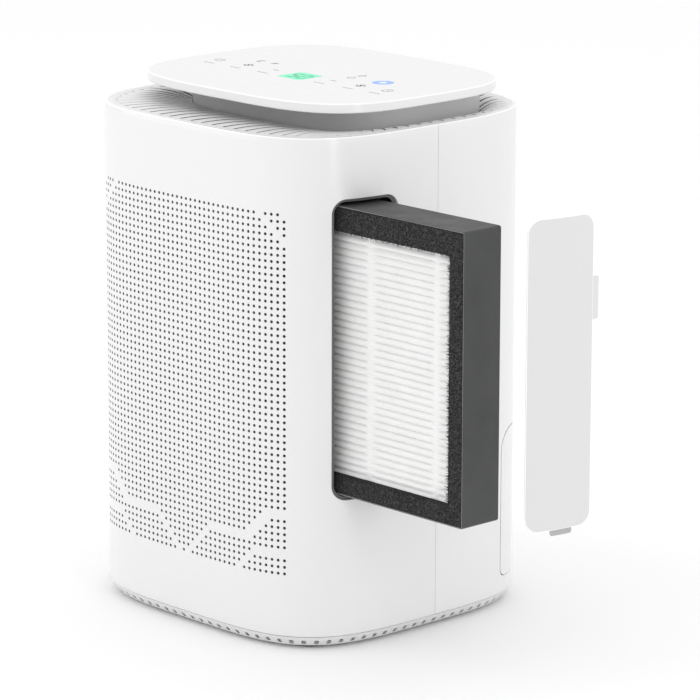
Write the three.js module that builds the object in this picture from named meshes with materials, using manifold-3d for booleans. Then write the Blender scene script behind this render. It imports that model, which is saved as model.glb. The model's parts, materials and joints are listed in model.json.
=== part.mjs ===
// Compact two-in-one air purifier: a rounded-square tower with a perforated front, a side slot
// for a cassette filter, a top outlet around a raised control panel, and a rear water tank.
// Millimetres, +Z up, +X towards the filter slot, -Y towards the perforated front.
// The origin is the centre of the base tray's flat underside. The filter and its cover are
// shown drawn out of the side slot.
import * as THREE from 'three';
import { mergeVertices } from 'three/addons/utils/BufferGeometryUtils.js';
import Module from 'manifold-3d';

const wasm = await Module();
wasm.setup();

// ---------------------------------------------------------------- driving dimensions
const BODY = { a: 108.7, b: 103.2, n: 3.96, m: 3.66, cy: 0 };
const LID = { a: 98.9, b: 82.4, n: 3.6, m: 3.6, cy: 9 };
const NECK = { a: 85.5, b: 61.5, n: 4, m: 4, cy: 20.8 };
const OUTLINE_STEPS = 64;

const GAP = 0.3;
const WALL = 3;
const SHELL_LOW = 6.5;
const SHELL_TOP = SHELL_LOW + 300;
const SEAM_Y = 2.4;

// Planes beyond every outer face, for cutters that run right through the body.
const OUTSIDE = 130;
const ABOVE = 400;

const FOOT = { height: 2, radius: 9, x: 78, y: 72 };
const TRAY = { lowInset: 5, topInset: 0.8, roomInset: 8.5, floor: 2.5 };

const SLOT = { y0: -72.5, y1: -31.6, z0: SHELL_LOW + 85, z1: SHELL_LOW + 261.5, r: 7 };
const SLOT_HEIGHT = SLOT.z1 - SLOT.z0;
const REBATE = { depth: 1.8, grow: 1.9, topGrow: 2.1, tabClearance: 0.5 };
const REAR_TAB = { reach: 6.5, z0: SLOT.z1 - 0.34 * SLOT_HEIGHT, z1: SLOT.z1 - 0.2 * SLOT_HEIGHT };
const LOW_TAB = { reach: 6, y0: -58, y1: -43 };
const PREFILTER = { inset: 5, thickness: 1.2, halfWidth: 85, z0: SHELL_LOW + 31.5, z1: SHELL_LOW + 261.5 };

const FILTER_TRAVEL = 107;
const FILTER = { x0: -92.4, x1: 95.6, y0: -68.8, y1: -39.2, z0: 92.8, z1: 266.2 };
const FILTER_BORDER = { inner: 10, outer: 11.6, top: 15, bottom: 11.3 };
const PLEAT_COUNT = 32;

const COVER_TRAVEL = { x: 157.5, z: 12.8 };
const COVER = { thickness: 1.5, grow: 1.4, tabInset: 0.5, plugReach: 4, plugInset: 0.9, plugWall: 2 };

const TANK = { y0: 62.3, z0: SHELL_LOW + 10, z1: SHELL_LOW + 103, topRadius: 14, lowRadius: 6 };
const TANK_INNER = { halfWidth: 72, y0: 34 };

const DECK = { z0: SHELL_TOP - 35.7, thickness: 2.5 };
const FAN = { y: NECK.cy, tubeRadius: 52, tubeWall: 2.5, z0: DECK.z0 - 41, hubRadius: 17 };
const BLADE = { count: 9, length: 36, thickness: 1.8, width: 24, middle: 31, pitch: 0.9 };
const SHAFT_RADIUS = 2.7;

const GRILLE = { z0: SHELL_TOP - 5.5, thickness: 2.5, border: 4, slats: 78, farWidth: 3, nearWidth: 1.3 };
const NECK_WALL = 2.4;
const NECK_FLOOR = SHELL_TOP - 13;
const NECK_POST = { radius: 4, x: 66, y: 40 };
const LID_LOW = SHELL_TOP + 10;
const LID_TOP = SHELL_TOP + 16;
const LID_SKIN = 1.6;
const LID_EDGE = 3;
const DISPLAY = { x: 0, y: -8, size: 20, radius: 3 };
const LOCK = { x: 50.4, y: 13, radius: 6.5 };

// ---------------------------------------------------------------- solids and shapes
function toSolid(geometry) {
  const bare = geometry.clone();
  bare.deleteAttribute('normal');
  bare.deleteAttribute('uv');
  const merged = mergeVertices(bare, 1e-4);
  return new wasm.Manifold(new wasm.Mesh({
    numProp: 3,
    vertProperties: new Float32Array(merged.attributes.position.array),
    triVerts: new Uint32Array(merged.index.array),
  }));
}

function toGeometry(solid) {
  const mesh = solid.getMesh();
  const geometry = new THREE.BufferGeometry();
  geometry.setAttribute('position', new THREE.BufferAttribute(mesh.vertProperties, 3));
  geometry.setIndex(new THREE.BufferAttribute(mesh.triVerts, 1));
  geometry.computeVertexNormals();
  return geometry;
}

const join = (first, ...rest) => rest.reduce((sum, solid) => sum.add(solid), first);
const cut = (first, ...rest) => rest.reduce((left, solid) => left.subtract(solid), first);

function box(x0, x1, y0, y1, z0, z1) {
  const geometry = new THREE.BoxGeometry(x1 - x0, y1 - y0, z1 - z0);
  geometry.translate((x0 + x1) / 2, (y0 + y1) / 2, (z0 + z1) / 2);
  return toSolid(geometry);
}

function cylinderZ(radius, z0, z1, x = 0, y = 0, steps = 24) {
  const geometry = new THREE.CylinderGeometry(radius, radius, z1 - z0, steps);
  geometry.rotateX(Math.PI / 2);
  geometry.translate(x, y, (z0 + z1) / 2);
  return toSolid(geometry);
}

function cylinderY(radius, y0, y1, x, z, steps = 20) {
  const geometry = new THREE.CylinderGeometry(radius, radius, y1 - y0, steps);
  geometry.translate(x, (y0 + y1) / 2, z);
  return toSolid(geometry);
}

function cylinderX(radius, x0, x1, y, z, steps = 20) {
  const geometry = new THREE.CylinderGeometry(radius, radius, x1 - x0, steps);
  geometry.rotateZ(Math.PI / 2);
  geometry.translate((x0 + x1) / 2, y, z);
  return toSolid(geometry);
}

// Superellipse |x/a|^n + |(y - cy)/b|^m = 1, shrunk by inset on all sides.
function outlinePoints(form, inset = 0) {
  const points = [];
  for (let i = 0; i < OUTLINE_STEPS; i += 1) {
    const angle = (2 * Math.PI * i) / OUTLINE_STEPS;
    const c = Math.cos(angle);
    const s = Math.sin(angle);
    const x = (form.a - inset) * Math.sign(c) * Math.abs(c) ** (2 / form.n);
    const y = (form.b - inset) * Math.sign(s) * Math.abs(s) ** (2 / form.m);
    points.push(new THREE.Vector2(x, form.cy + y));
  }
  return points;
}

function extrudeZ(shape, z0, z1) {
  const settings = { depth: z1 - z0, bevelEnabled: false, curveSegments: 3 };
  const geometry = new THREE.ExtrudeGeometry(shape, settings);
  geometry.translate(0, 0, z0);
  return geometry;
}

const plate = (form, inset, z0, z1) => (
  toSolid(extrudeZ(new THREE.Shape(outlinePoints(form, inset)), z0, z1))
);

// A plate whose outline shrinks from topInset at z1 to lowInset at z0.
function taperedPlate(form, lowInset, topInset, z0, z1) {
  const geometry = extrudeZ(new THREE.Shape(outlinePoints(form, topInset)), z0, z1);
  const position = geometry.attributes.position;
  const scaleX = (form.a - lowInset) / (form.a - topInset);
  const scaleY = (form.b - lowInset) / (form.b - topInset);
  const middle = (z0 + z1) / 2;
  for (let i = 0; i < position.count; i += 1) {
    if (position.getZ(i) < middle) {
      position.setXY(i, position.getX(i) * scaleX, position.getY(i) * scaleY);
    }
  }
  return toSolid(geometry);
}

// Rectangle u0..u1 by v0..v1 with corner radii [u0v0, u1v0, u1v1, u0v1].
function roundedShape(u0, u1, v0, v1, radii) {
  const [r00, r10, r11, r01] = typeof radii === 'number' ? Array(4).fill(radii) : radii;
  const shape = new THREE.Shape();
  shape.moveTo(u0 + r00, v0);
  shape.lineTo(u1 - r10, v0);
  if (r10) shape.absarc(u1 - r10, v0 + r10, r10, -Math.PI / 2, 0);
  shape.lineTo(u1, v1 - r11);
  if (r11) shape.absarc(u1 - r11, v1 - r11, r11, 0, Math.PI / 2);
  shape.lineTo(u0 + r01, v1);
  if (r01) shape.absarc(u0 + r01, v1 - r01, r01, Math.PI / 2, Math.PI);
  shape.lineTo(u0, v0 + r00);
  if (r00) shape.absarc(u0 + r00, v0 + r00, r00, Math.PI, 1.5 * Math.PI);
  return shape;
}

// Extrudes a shape drawn in (Y, Z) from x0 to x1.
function prismX(shape, x0, x1) {
  const settings = { depth: x1 - x0, bevelEnabled: false, curveSegments: 4 };
  const geometry = new THREE.ExtrudeGeometry(shape, settings);
  geometry.rotateY(Math.PI / 2);
  geometry.rotateX(Math.PI / 2);
  geometry.translate(x0, 0, 0);
  return toSolid(geometry);
}

// Extrudes a shape drawn in (X, Z) from y0 to y1.
function prismY(shape, y0, y1) {
  const settings = { depth: y1 - y0, bevelEnabled: false, curveSegments: 3 };
  const geometry = new THREE.ExtrudeGeometry(shape, settings);
  geometry.rotateX(Math.PI / 2);
  geometry.translate(0, y1, 0);
  return toSolid(geometry);
}

function squarePlate(x, y, size, radius, z0, z1) {
  const half = size / 2;
  return toSolid(extrudeZ(roundedShape(x - half, x + half, y - half, y + half, radius), z0, z1));
}

// ---------------------------------------------------------------- scene graph
const purifier = new THREE.Group();

function addPart(group, name, solid, [color, roughness, metalness]) {
  const material = new THREE.MeshStandardMaterial({ color, roughness, metalness });
  const mesh = new THREE.Mesh(toGeometry(solid), material);
  mesh.name = name;
  group.add(mesh);
}

const WHITE = [0xf2f2f2, 0.28, 0];
const WARM_GREY = [0x8f9092, 0.45, 0];
const INNER_GREY = [0xb9bbbd, 0.5, 0];
const CHARCOAL = [0x3c3d3f, 0.7, 0];
const FOAM = [0x1c1c1d, 0.95, 0];
const PAPER = [0xf4f4f1, 0.9, 0];
const RUBBER = [0x2b2b2c, 0.85, 0];
const ALUMINIUM = [0xb8bcc0, 0.4, 1];
const STEEL = [0xa8abad, 0.3, 1];
const BOARD = [0x1e5b3a, 0.6, 0];
const BLACK = [0x161617, 0.5, 0];
const CERAMIC = [0xe9e7e0, 0.7, 0];
const SMOKE = [0xcfd3d6, 0.2, 0];
const GREEN = [0x35dda0, 0.3, 0];
const BLUE = [0x4d84f5, 0.3, 0];

// ---------------------------------------------------------------- outer shells
const coverWindow = (grow, topGrow = grow) => (
  roundedShape(SLOT.y0 - grow, SLOT.y1 + grow, SLOT.z0 - grow, SLOT.z1 + topGrow, SLOT.r + grow)
);

// The cover's two finger tabs, as boxes that run through the wall along X.
function coverTabs(clearance) {
  const overlap = 2;
  const rearTab = box(90, OUTSIDE, SLOT.y1 - overlap, SLOT.y1 + REAR_TAB.reach + clearance,
    REAR_TAB.z0 - clearance, REAR_TAB.z1 + clearance);
  const lowTab = box(90, OUTSIDE, LOW_TAB.y0 - clearance, LOW_TAB.y1 + clearance,
    SLOT.z0 - LOW_TAB.reach - clearance, SLOT.z0 + overlap);
  return join(rearTab, lowTab);
}

function bodyWall() {
  return cut(
    plate(BODY, 0, SHELL_LOW, SHELL_TOP),
    plate(BODY, WALL, SHELL_LOW - 1, SHELL_TOP + 1),
  );
}

function frontShell() {
  const frontHalf = box(-OUTSIDE, OUTSIDE, -OUTSIDE, SEAM_Y - GAP / 2, 0, ABOVE);
  const slot = prismX(coverWindow(0), 80, OUTSIDE);
  const seat = prismX(coverWindow(REBATE.grow, REBATE.topGrow), 80, OUTSIDE);
  const rebate = cut(join(seat, coverTabs(REBATE.tabClearance)), plate(BODY, REBATE.depth, 0, ABOVE));
  return cut(bodyWall().intersect(frontHalf), slot, rebate);
}

// A coarse net just behind the perforated wall.
function prefilterMesh() {
  const { inset, thickness, halfWidth, z0, z1 } = PREFILTER;
  const layer = cut(plate(BODY, inset, z0, z1), plate(BODY, inset + thickness, z0 - 1, z1 + 1));
  return layer.intersect(box(-halfWidth, halfWidth, -OUTSIDE, 0, z0, z1));
}

function tankWindow(shrink) {
  return roundedShape(TANK.y0 + shrink, OUTSIDE, TANK.z0 + shrink, TANK.z1 - shrink,
    [TANK.lowRadius - shrink, 0, 0, TANK.topRadius - shrink]);
}

const JACK = { x: 62, z: SHELL_LOW + 117, radius: 5.2, clearance: 0.4 };
const LOUVRE = { count: 7, pitch: 10, halfWidth: 45, z0: SHELL_LOW + 140, height: 3.4, radius: 1.6 };

function rearLouvres() {
  const slots = [];
  for (let i = 0; i < LOUVRE.count; i += 1) {
    const z = LOUVRE.z0 + LOUVRE.pitch * i;
    const outline = roundedShape(-LOUVRE.halfWidth, LOUVRE.halfWidth, z, z + LOUVRE.height, LOUVRE.radius);
    slots.push(prismY(outline, 90, OUTSIDE));
  }
  return slots;
}

function rearShell() {
  const rearHalf = box(-OUTSIDE, OUTSIDE, SEAM_Y + GAP / 2, OUTSIDE, 0, ABOVE);
  const tankOpening = prismX(tankWindow(0), -OUTSIDE, OUTSIDE);
  const jackHole = cylinderY(JACK.radius + JACK.clearance, 85, OUTSIDE, JACK.x, JACK.z);
  return cut(bodyWall().intersect(rearHalf), tankOpening, jackHole, ...rearLouvres());
}

addPart(purifier, 'front_shell', frontShell(), WHITE);
addPart(purifier, 'rear_shell', rearShell(), WHITE);
addPart(purifier, 'prefilter_mesh', prefilterMesh(), BLACK);

// ---------------------------------------------------------------- base tray, feet, screws
const SCREW_PLACES = [[-60, -80], [60, -80], [-60, 50], [60, 50]];
const SCREW = { headRadius: 3.6, shankRadius: 1.8, z0: 0.4, neck: 2.2, z1: 9.4, roomRadius: 4 };

function baseTray() {
  const screwRooms = SCREW_PLACES.map(([x, y]) => cylinderZ(SCREW.roomRadius, -1, SCREW.z1, x, y, 12));
  return cut(
    taperedPlate(BODY, TRAY.lowInset, TRAY.topInset, 0, SHELL_LOW - GAP),
    plate(BODY, TRAY.roomInset, TRAY.floor, SHELL_LOW + 1),
    ...screwRooms,
  );
}

addPart(purifier, 'base_tray', baseTray(), INNER_GREY);

const FEET = {
  foot_front_left: [-FOOT.x, -FOOT.y],
  foot_front_right: [FOOT.x, -FOOT.y],
  foot_rear_left: [-FOOT.x, FOOT.y],
  foot_rear_right: [FOOT.x, FOOT.y],
};
for (const [name, [x, y]] of Object.entries(FEET)) {
  addPart(purifier, name, cylinderZ(FOOT.radius, -FOOT.height, -GAP, x, y, 20), RUBBER);
}

SCREW_PLACES.forEach(([x, y], i) => {
  const head = cylinderZ(SCREW.headRadius, SCREW.z0, SCREW.neck, x, y, 12);
  const shank = cylinderZ(SCREW.shankRadius, SCREW.neck, SCREW.z1, x, y, 8);
  addPart(purifier, `base_screw_${i + 1}`, head.add(shank), STEEL);
});

// ---------------------------------------------------------------- tank cradle and chassis
const CHASSIS = { y0: -1.7, y1: 2, halfWidth: 99.5, z0: TRAY.floor + GAP, z1: 189 };
const SINK = { halfWidth: 42, z0: 122, z1: 186, finCount: 11, finHalf: 0.8 };
const COOLER = { z: 156, half: 20 };
const CRADLE = { halfWidth: 76, y0: 30, y1: 90, thickness: 3, legY1: 80, legHalf: 2 };
const CRADLE_LEG_PLACES = [-72, -24, 24, 72];
const SPOUT = { halfWidth: 8, z0: 108, z1: 116, y1: 52 };

function tankCradle() {
  const { halfWidth, y0, y1, thickness, legY1, legHalf } = CRADLE;
  const shelf = box(-halfWidth, halfWidth, y0, y1, TANK.z0 - thickness, TANK.z0);
  const legs = CRADLE_LEG_PLACES.map((x) => (
    box(x - legHalf, x + legHalf, y0, legY1, TRAY.floor + GAP, TANK.z0 - 2)
  ));
  const screwRooms = SCREW_PLACES.slice(2).map(([x, y]) => cylinderZ(5, 0, 11, x, y, 12));
  return cut(join(shelf, ...legs), ...screwRooms);
}

// Windows for the cooler, for air under and beside the sinks, and for the collector's spout.
function chassisPlate() {
  const { y0, y1, halfWidth, z0, z1 } = CHASSIS;
  const reach = (u0, u1, v0, v1, radius) => prismY(roundedShape(u0, u1, v0, v1, radius), y0 - 1, y1 + 1);
  const coolerHalf = COOLER.half + 0.5;
  const spoutHalf = SPOUT.halfWidth + 1.2;
  return cut(
    box(-halfWidth, halfWidth, y0, y1, z0, z1),
    reach(-coolerHalf, coolerHalf, COOLER.z - coolerHalf, COOLER.z + coolerHalf, 1),
    reach(-80, 80, 24, 96, 8),
    reach(-spoutHalf, spoutHalf, SPOUT.z0 - 0.5, SPOUT.z1 + 3.5, 1),
    reach(-92, -60, 120, 176, 6),
    reach(60, 92, 120, 176, 6),
  );
}

addPart(purifier, 'tank_cradle', tankCradle(), INNER_GREY);
addPart(purifier, 'chassis_plate', chassisPlate(), INNER_GREY);

// ---------------------------------------------------------------- filter bay
const BAY = { halfWidth: 95.2, y0: -72, y1: -36, margin: 3.8, slack: 0.7 };

function filterBay() {
  const shell = box(-BAY.halfWidth, BAY.halfWidth, BAY.y0, BAY.y1,
    FILTER.z0 - BAY.margin, FILTER.z1 + BAY.margin);
  const room = box(FILTER.x0 - BAY.slack, 100, FILTER.y0 - BAY.slack, FILTER.y1 + BAY.slack,
    FILTER.z0 - BAY.slack, FILTER.z1 + BAY.slack);
  const airWindow = prismY(roundedShape(-80, 82, 106, 250, 5), BAY.y0 - 8, BAY.y1 + 6);
  return cut(shell, room, airWindow);
}

addPart(purifier, 'filter_bay', filterBay(), INNER_GREY);

const switchBlock = (x0, x1, y0, y1, z0, z1, lever) => join(box(x0, x1, y0, y1, z0, z1), lever);
addPart(purifier, 'cover_switch',
  switchBlock(76, 90, -35.7, -29, 250, 262, box(88, 93.5, -34, -31, 255, 257)), BLACK);
addPart(purifier, 'tank_switch',
  switchBlock(84, 96, 2.3, 14, 84, 100, box(89, 91, 13, 20, 91, 93)), BLACK);

// ---------------------------------------------------------------- thermoelectric drier
function finnedSink(baseY0, baseY1, tipY) {
  const { halfWidth, z0, z1, finCount, finHalf } = SINK;
  const [low, high] = tipY < baseY0 ? [tipY, baseY0 + 1] : [baseY1 - 1, tipY];
  const reach = halfWidth - 1;
  const fins = [];
  for (let i = 0; i < finCount; i += 1) {
    const x = -reach + (2 * reach * i) / (finCount - 1);
    fins.push(box(x - finHalf, x + finHalf, low, high, z0, z1));
  }
  return join(box(-halfWidth, halfWidth, baseY0, baseY1, z0, z1), ...fins);
}

addPart(purifier, 'cold_sink', finnedSink(-6, -2.3, -30), ALUMINIUM);
addPart(purifier, 'hot_sink', finnedSink(2.4, 6.4, 32), ALUMINIUM);
addPart(purifier, 'peltier_module', box(-COOLER.half, COOLER.half, -2, 2.1,
  COOLER.z - COOLER.half, COOLER.z + COOLER.half), CERAMIC);

// A trough under the cold fins, with a spout that drips into the tank's inlet.
function dripCollector() {
  const wall = 1.5;
  const { halfWidth, z0, z1, y1 } = SPOUT;
  const trough = box(-48, 48, -33, -2.5, z0, 120);
  const troughRoom = box(-48 + wall, 48 - wall, -33 + wall, -2.5 - wall, z0 + 2, 121);
  const spout = box(-halfWidth, halfWidth, -4, y1, z0, z1);
  const channel = box(-halfWidth + wall, halfWidth - wall, -10, y1 - wall, z0 + 2, z1 + 1);
  const dripHole = box(-4, 4, 42, 48, z0 - 1, z0 + 3);
  return cut(join(trough, spout), troughRoom, channel, dripHole);
}

addPart(purifier, 'drip_collector', dripCollector(), INNER_GREY);

// ---------------------------------------------------------------- electronics
function mainBoard() {
  const board = box(-98, -56, 9, 10.6, 122, 182);
  const transformer = box(-92, -72, 10.5, 28, 128, 148);
  const capacitor = cylinderY(6, 10.5, 30, -80, 168, 16);
  const relay = box(-70, -60, 10.5, 24, 156, 172);
  return join(board, transformer, capacitor, relay);
}

function powerJack() {
  const half = 7;
  const body = box(JACK.x - half, JACK.x + half, 80, 93.4, JACK.z - half, JACK.z + half);
  const barrel = cylinderY(JACK.radius, 93, 99.4, JACK.x, JACK.z);
  const bore = cylinderY(3, 86, 100, JACK.x, JACK.z);
  const pin = cylinderY(1.1, 85, 98, JACK.x, JACK.z, 12);
  return join(cut(join(body, barrel), bore), pin);
}

addPart(purifier, 'main_board', mainBoard(), BOARD);
addPart(purifier, 'power_jack', powerJack(), BLACK);

// ---------------------------------------------------------------- fan
function fanDeck() {
  const top = DECK.z0 + DECK.thickness;
  const throat = cylinderZ(FAN.tubeRadius, DECK.z0 - 1, top + 1, 0, FAN.y, 36);
  return plate(BODY, WALL + 0.6, DECK.z0, top).subtract(throat);
}

function fanTube() {
  return cut(
    cylinderZ(FAN.tubeRadius + FAN.tubeWall, FAN.z0, DECK.z0 - GAP, 0, FAN.y, 36),
    cylinderZ(FAN.tubeRadius, FAN.z0 - 1, DECK.z0, 0, FAN.y, 36),
  );
}

const BRACKET_TOP = FAN.z0 - GAP;
const BRACKET = { z0: BRACKET_TOP - 5.4, z1: BRACKET_TOP - 2.4, arms: 4, armHalf: 5, discRadius: 24 };
const MOTOR_SCREW = { headRadius: 2.8, shankRadius: 1.4, circle: 13, length: 5 };

function motorBracket() {
  const { z0, z1, armHalf, discRadius } = BRACKET;
  const tubeOuter = FAN.tubeRadius + FAN.tubeWall;
  const arms = [];
  for (let i = 0; i < BRACKET.arms; i += 1) {
    const arm = box(15, tubeOuter + 3.5, -armHalf, armHalf, z0, z1);
    const pad = box(FAN.tubeRadius - 1, tubeOuter + 3.5, -armHalf, armHalf, z0, BRACKET_TOP);
    arms.push(join(arm, pad).rotate([0, 0, 45 + 90 * i]).translate([0, FAN.y, 0]));
  }
  const disc = cylinderZ(discRadius, z0, z1, 0, FAN.y, 24);
  const shaftHole = cylinderZ(6, z0 - 1, BRACKET_TOP, 0, FAN.y, 16);
  const screwHoles = MOTOR_SCREWS.map(([x, y]) => (
    cylinderZ(MOTOR_SCREW.shankRadius + 0.5, z0 - 1, BRACKET_TOP, x, y, 8)
  ));
  return cut(join(disc, ...arms), shaftHole, ...screwHoles);
}

const MOTOR = { radius: 19, z0: BRACKET.z0 - 30, z1: BRACKET.z0 - GAP };
const MOTOR_SCREWS = [0, 1, 2].map((i) => {
  const angle = Math.PI / 2 + (2 * Math.PI * i) / 3;
  return [MOTOR_SCREW.circle * Math.cos(angle), FAN.y + MOTOR_SCREW.circle * Math.sin(angle)];
});

function motorBody() {
  const { radius, z0, z1 } = MOTOR;
  const can = cylinderZ(radius, z0, z1, 0, FAN.y, 28);
  const bore = cylinderZ(SHAFT_RADIUS + GAP, z1 - 18, z1 + 1, 0, FAN.y, 16);
  const threads = MOTOR_SCREWS.map(([x, y]) => (
    cylinderZ(MOTOR_SCREW.shankRadius + GAP, z1 - MOTOR_SCREW.length - 1, z1 + 1, x, y, 8)
  ));
  return cut(can, bore, ...threads);
}

const HUB = { z0: FAN.z0 + 6, z1: FAN.z0 + 28 };
const NUT = { radius: 5.5, z0: HUB.z1 + 0.4, z1: HUB.z1 + 4.4 };

function impeller() {
  const blades = [];
  for (let i = 0; i < BLADE.count; i += 1) {
    const blade = new THREE.BoxGeometry(BLADE.length, BLADE.thickness, BLADE.width);
    blade.rotateX(BLADE.pitch);
    blade.translate(BLADE.middle, 0, (HUB.z0 + HUB.z1) / 2);
    blade.rotateZ((2 * Math.PI * i) / BLADE.count);
    blade.translate(0, FAN.y, 0);
    blades.push(toSolid(blade));
  }
  const hub = cylinderZ(FAN.hubRadius, HUB.z0, HUB.z1, 0, FAN.y, 24);
  const bore = cylinderZ(SHAFT_RADIUS + GAP, HUB.z0 - 1, HUB.z1 + 1, 0, FAN.y, 16);
  return cut(join(hub, ...blades), bore);
}

function hubNut() {
  return cut(
    cylinderZ(NUT.radius, NUT.z0, NUT.z1, 0, FAN.y, 6),
    cylinderZ(SHAFT_RADIUS + GAP, NUT.z0 - 1, NUT.z1 + 1, 0, FAN.y, 16),
  );
}

addPart(purifier, 'fan_deck', fanDeck(), INNER_GREY);
addPart(purifier, 'fan_tube', fanTube(), INNER_GREY);
addPart(purifier, 'motor_bracket', motorBracket(), INNER_GREY);
addPart(purifier, 'motor_body', motorBody(), STEEL);
MOTOR_SCREWS.forEach(([x, y], i) => {
  const head = cylinderZ(MOTOR_SCREW.headRadius, BRACKET.z1 + GAP, BRACKET.z1 + 2, x, y, 12);
  const shank = cylinderZ(MOTOR_SCREW.shankRadius, MOTOR.z1 - MOTOR_SCREW.length, BRACKET.z1 + 1, x, y, 8);
  addPart(purifier, `motor_screw_${i + 1}`, head.add(shank), STEEL);
});
addPart(purifier, 'impeller', impeller(), WARM_GREY);
addPart(purifier, 'motor_shaft',
  cylinderZ(SHAFT_RADIUS, MOTOR.z1 - 17, NUT.z1 + 1.6, 0, FAN.y, 16), STEEL);
addPart(purifier, 'hub_nut', hubNut(), STEEL);

// ---------------------------------------------------------------- outlet grille and neck
// The grille is one plate. Each slot runs square off the outer rim to the nearest point of
// the neck's outline, and narrows towards the neck, where the slots crowd at the corners.
function nearestPoint(loop, point) {
  return loop.reduce((best, p) => (p.distanceTo(point) < best.distanceTo(point) ? p : best));
}

function outletGrille() {
  const fit = WALL + 0.4;
  const rim = { ...BODY, a: BODY.a - fit, b: BODY.b - fit };
  const shape = new THREE.Shape(outlinePoints(rim));
  shape.holes.push(new THREE.Path(outlinePoints(NECK, -2 * GAP)));
  const farEnds = closedPath(outlinePoints(rim, GRILLE.border)).getSpacedPoints(GRILLE.slats);
  const neckLoop = closedPath(outlinePoints(NECK, -GRILLE.border)).getSpacedPoints(3000);
  for (const far of farEnds.slice(0, GRILLE.slats)) {
    const near = nearestPoint(neckLoop, far);
    const along = near.clone().sub(far).normalize();
    const side = new THREE.Vector2(-along.y, along.x);
    const corner = (end, width) => end.clone().addScaledVector(side, width / 2);
    shape.holes.push(new THREE.Path([
      corner(far, GRILLE.farWidth), corner(near, GRILLE.nearWidth),
      corner(near, -GRILLE.nearWidth), corner(far, -GRILLE.farWidth),
    ]));
  }
  return toSolid(extrudeZ(shape, GRILLE.z0, GRILLE.z0 + GRILLE.thickness));
}

function closedPath(points) {
  const path = new THREE.Path(points);
  path.closePath();
  return path;
}

// An open tub that holds the panel up over the grille.
function neckCollar() {
  return cut(
    plate(NECK, 0, NECK_FLOOR, LID_LOW - GAP),
    plate(NECK, NECK_WALL, NECK_FLOOR + NECK_WALL, LID_TOP),
  );
}

addPart(purifier, 'outlet_grille', outletGrille(), WHITE);
addPart(purifier, 'neck_collar', neckCollar(), WARM_GREY);
[[-1, -1], [1, -1], [-1, 1], [1, 1]].forEach(([sideX, sideY], i) => {
  const post = cylinderZ(NECK_POST.radius, DECK.z0 + DECK.thickness + GAP, NECK_FLOOR - GAP,
    sideX * NECK_POST.x, NECK.cy + sideY * NECK_POST.y, 12);
  addPart(purifier, `neck_post_${i + 1}`, post, INNER_GREY);
});

// ---------------------------------------------------------------- control panel
function lidPanel() {
  return cut(
    plate(LID, 0, LID_LOW, LID_TOP),
    plate(LID, LID_EDGE, LID_LOW - 1, LID_TOP - LID_SKIN),
    squarePlate(DISPLAY.x, DISPLAY.y, DISPLAY.size + 2 * GAP, DISPLAY.radius + GAP, LID_LOW, LID_TOP + 1),
    cylinderZ(LOCK.radius + GAP, LID_LOW, LID_TOP + 1, LOCK.x, LOCK.y, 32),
  );
}

function lidBase() {
  const thickness = 1.6;
  return cut(
    plate(LID, LID_EDGE + 0.4, LID_LOW, LID_LOW + thickness),
    squarePlate(DISPLAY.x, DISPLAY.y, DISPLAY.size + 10, 2, LID_LOW - 1, LID_LOW + thickness + 1),
  );
}

function touchBoard() {
  const outline = roundedShape(-86, 86, -26, 30, 6);
  return cut(
    toSolid(extrudeZ(outline, LID_LOW + 2, LID_LOW + 3.4)),
    squarePlate(DISPLAY.x, DISPLAY.y, DISPLAY.size + 2, 1, LID_LOW, LID_TOP),
  );
}

const windowTop = LID_TOP - 0.05;
addPart(purifier, 'lid_panel', lidPanel(), WHITE);
addPart(purifier, 'lid_base', lidBase(), WARM_GREY);
addPart(purifier, 'touch_board', touchBoard(), BOARD);
addPart(purifier, 'display_module',
  squarePlate(DISPLAY.x, DISPLAY.y, DISPLAY.size - 0.6, 1, LID_LOW - 3, LID_TOP - 2), GREEN);
addPart(purifier, 'display_window',
  squarePlate(DISPLAY.x, DISPLAY.y, DISPLAY.size, DISPLAY.radius, LID_TOP - 1.5, windowTop), SMOKE);
addPart(purifier, 'lock_light',
  cylinderZ(LOCK.radius, LID_TOP - 1.5, windowTop, LOCK.x, LOCK.y, 24), BLUE);

// ---------------------------------------------------------------- water tank
const TANK_WALL = 2.4;
const TANK_LID = { z0: TANK.z1 - 5.7, z1: TANK.z1 - 3.7, inletRadius: 7, inletY: 45 };
const SCOOP = { radius: 14, halfWidth: 30, y: 107, z: TANK.z1 - 17.5 };
const FLOAT = { x0: 22, x1: 46, y: 50, z: TANK.z1 - 12, reach: 24, drop: 30, radius: 9, pinHole: 1.5 };
const TANK_SHOULDER = { y: 78, z: TANK.z1 - 15 };

// The tank's plan shrunk by inset: a rear part as wide as the body, which starts at rearY, and
// a narrower inner part that reaches forwards between the chassis parts.
function tankPlan(inset, rearY, z0, z1) {
  const rearHalf = box(-OUTSIDE, OUTSIDE, rearY + inset, OUTSIDE, z0, z1);
  const rear = plate(BODY, inset, z0, z1).intersect(rearHalf);
  const inner = box(-TANK_INNER.halfWidth + inset, TANK_INNER.halfWidth - inset,
    TANK_INNER.y0 + inset, rearY + inset + 1, z0, z1);
  return join(rear, inner);
}

function gripScoop(grow) {
  const { radius, halfWidth, y, z } = SCOOP;
  return cylinderX(radius + grow, -halfWidth - grow, halfWidth + grow, y, z, 24);
}

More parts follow.
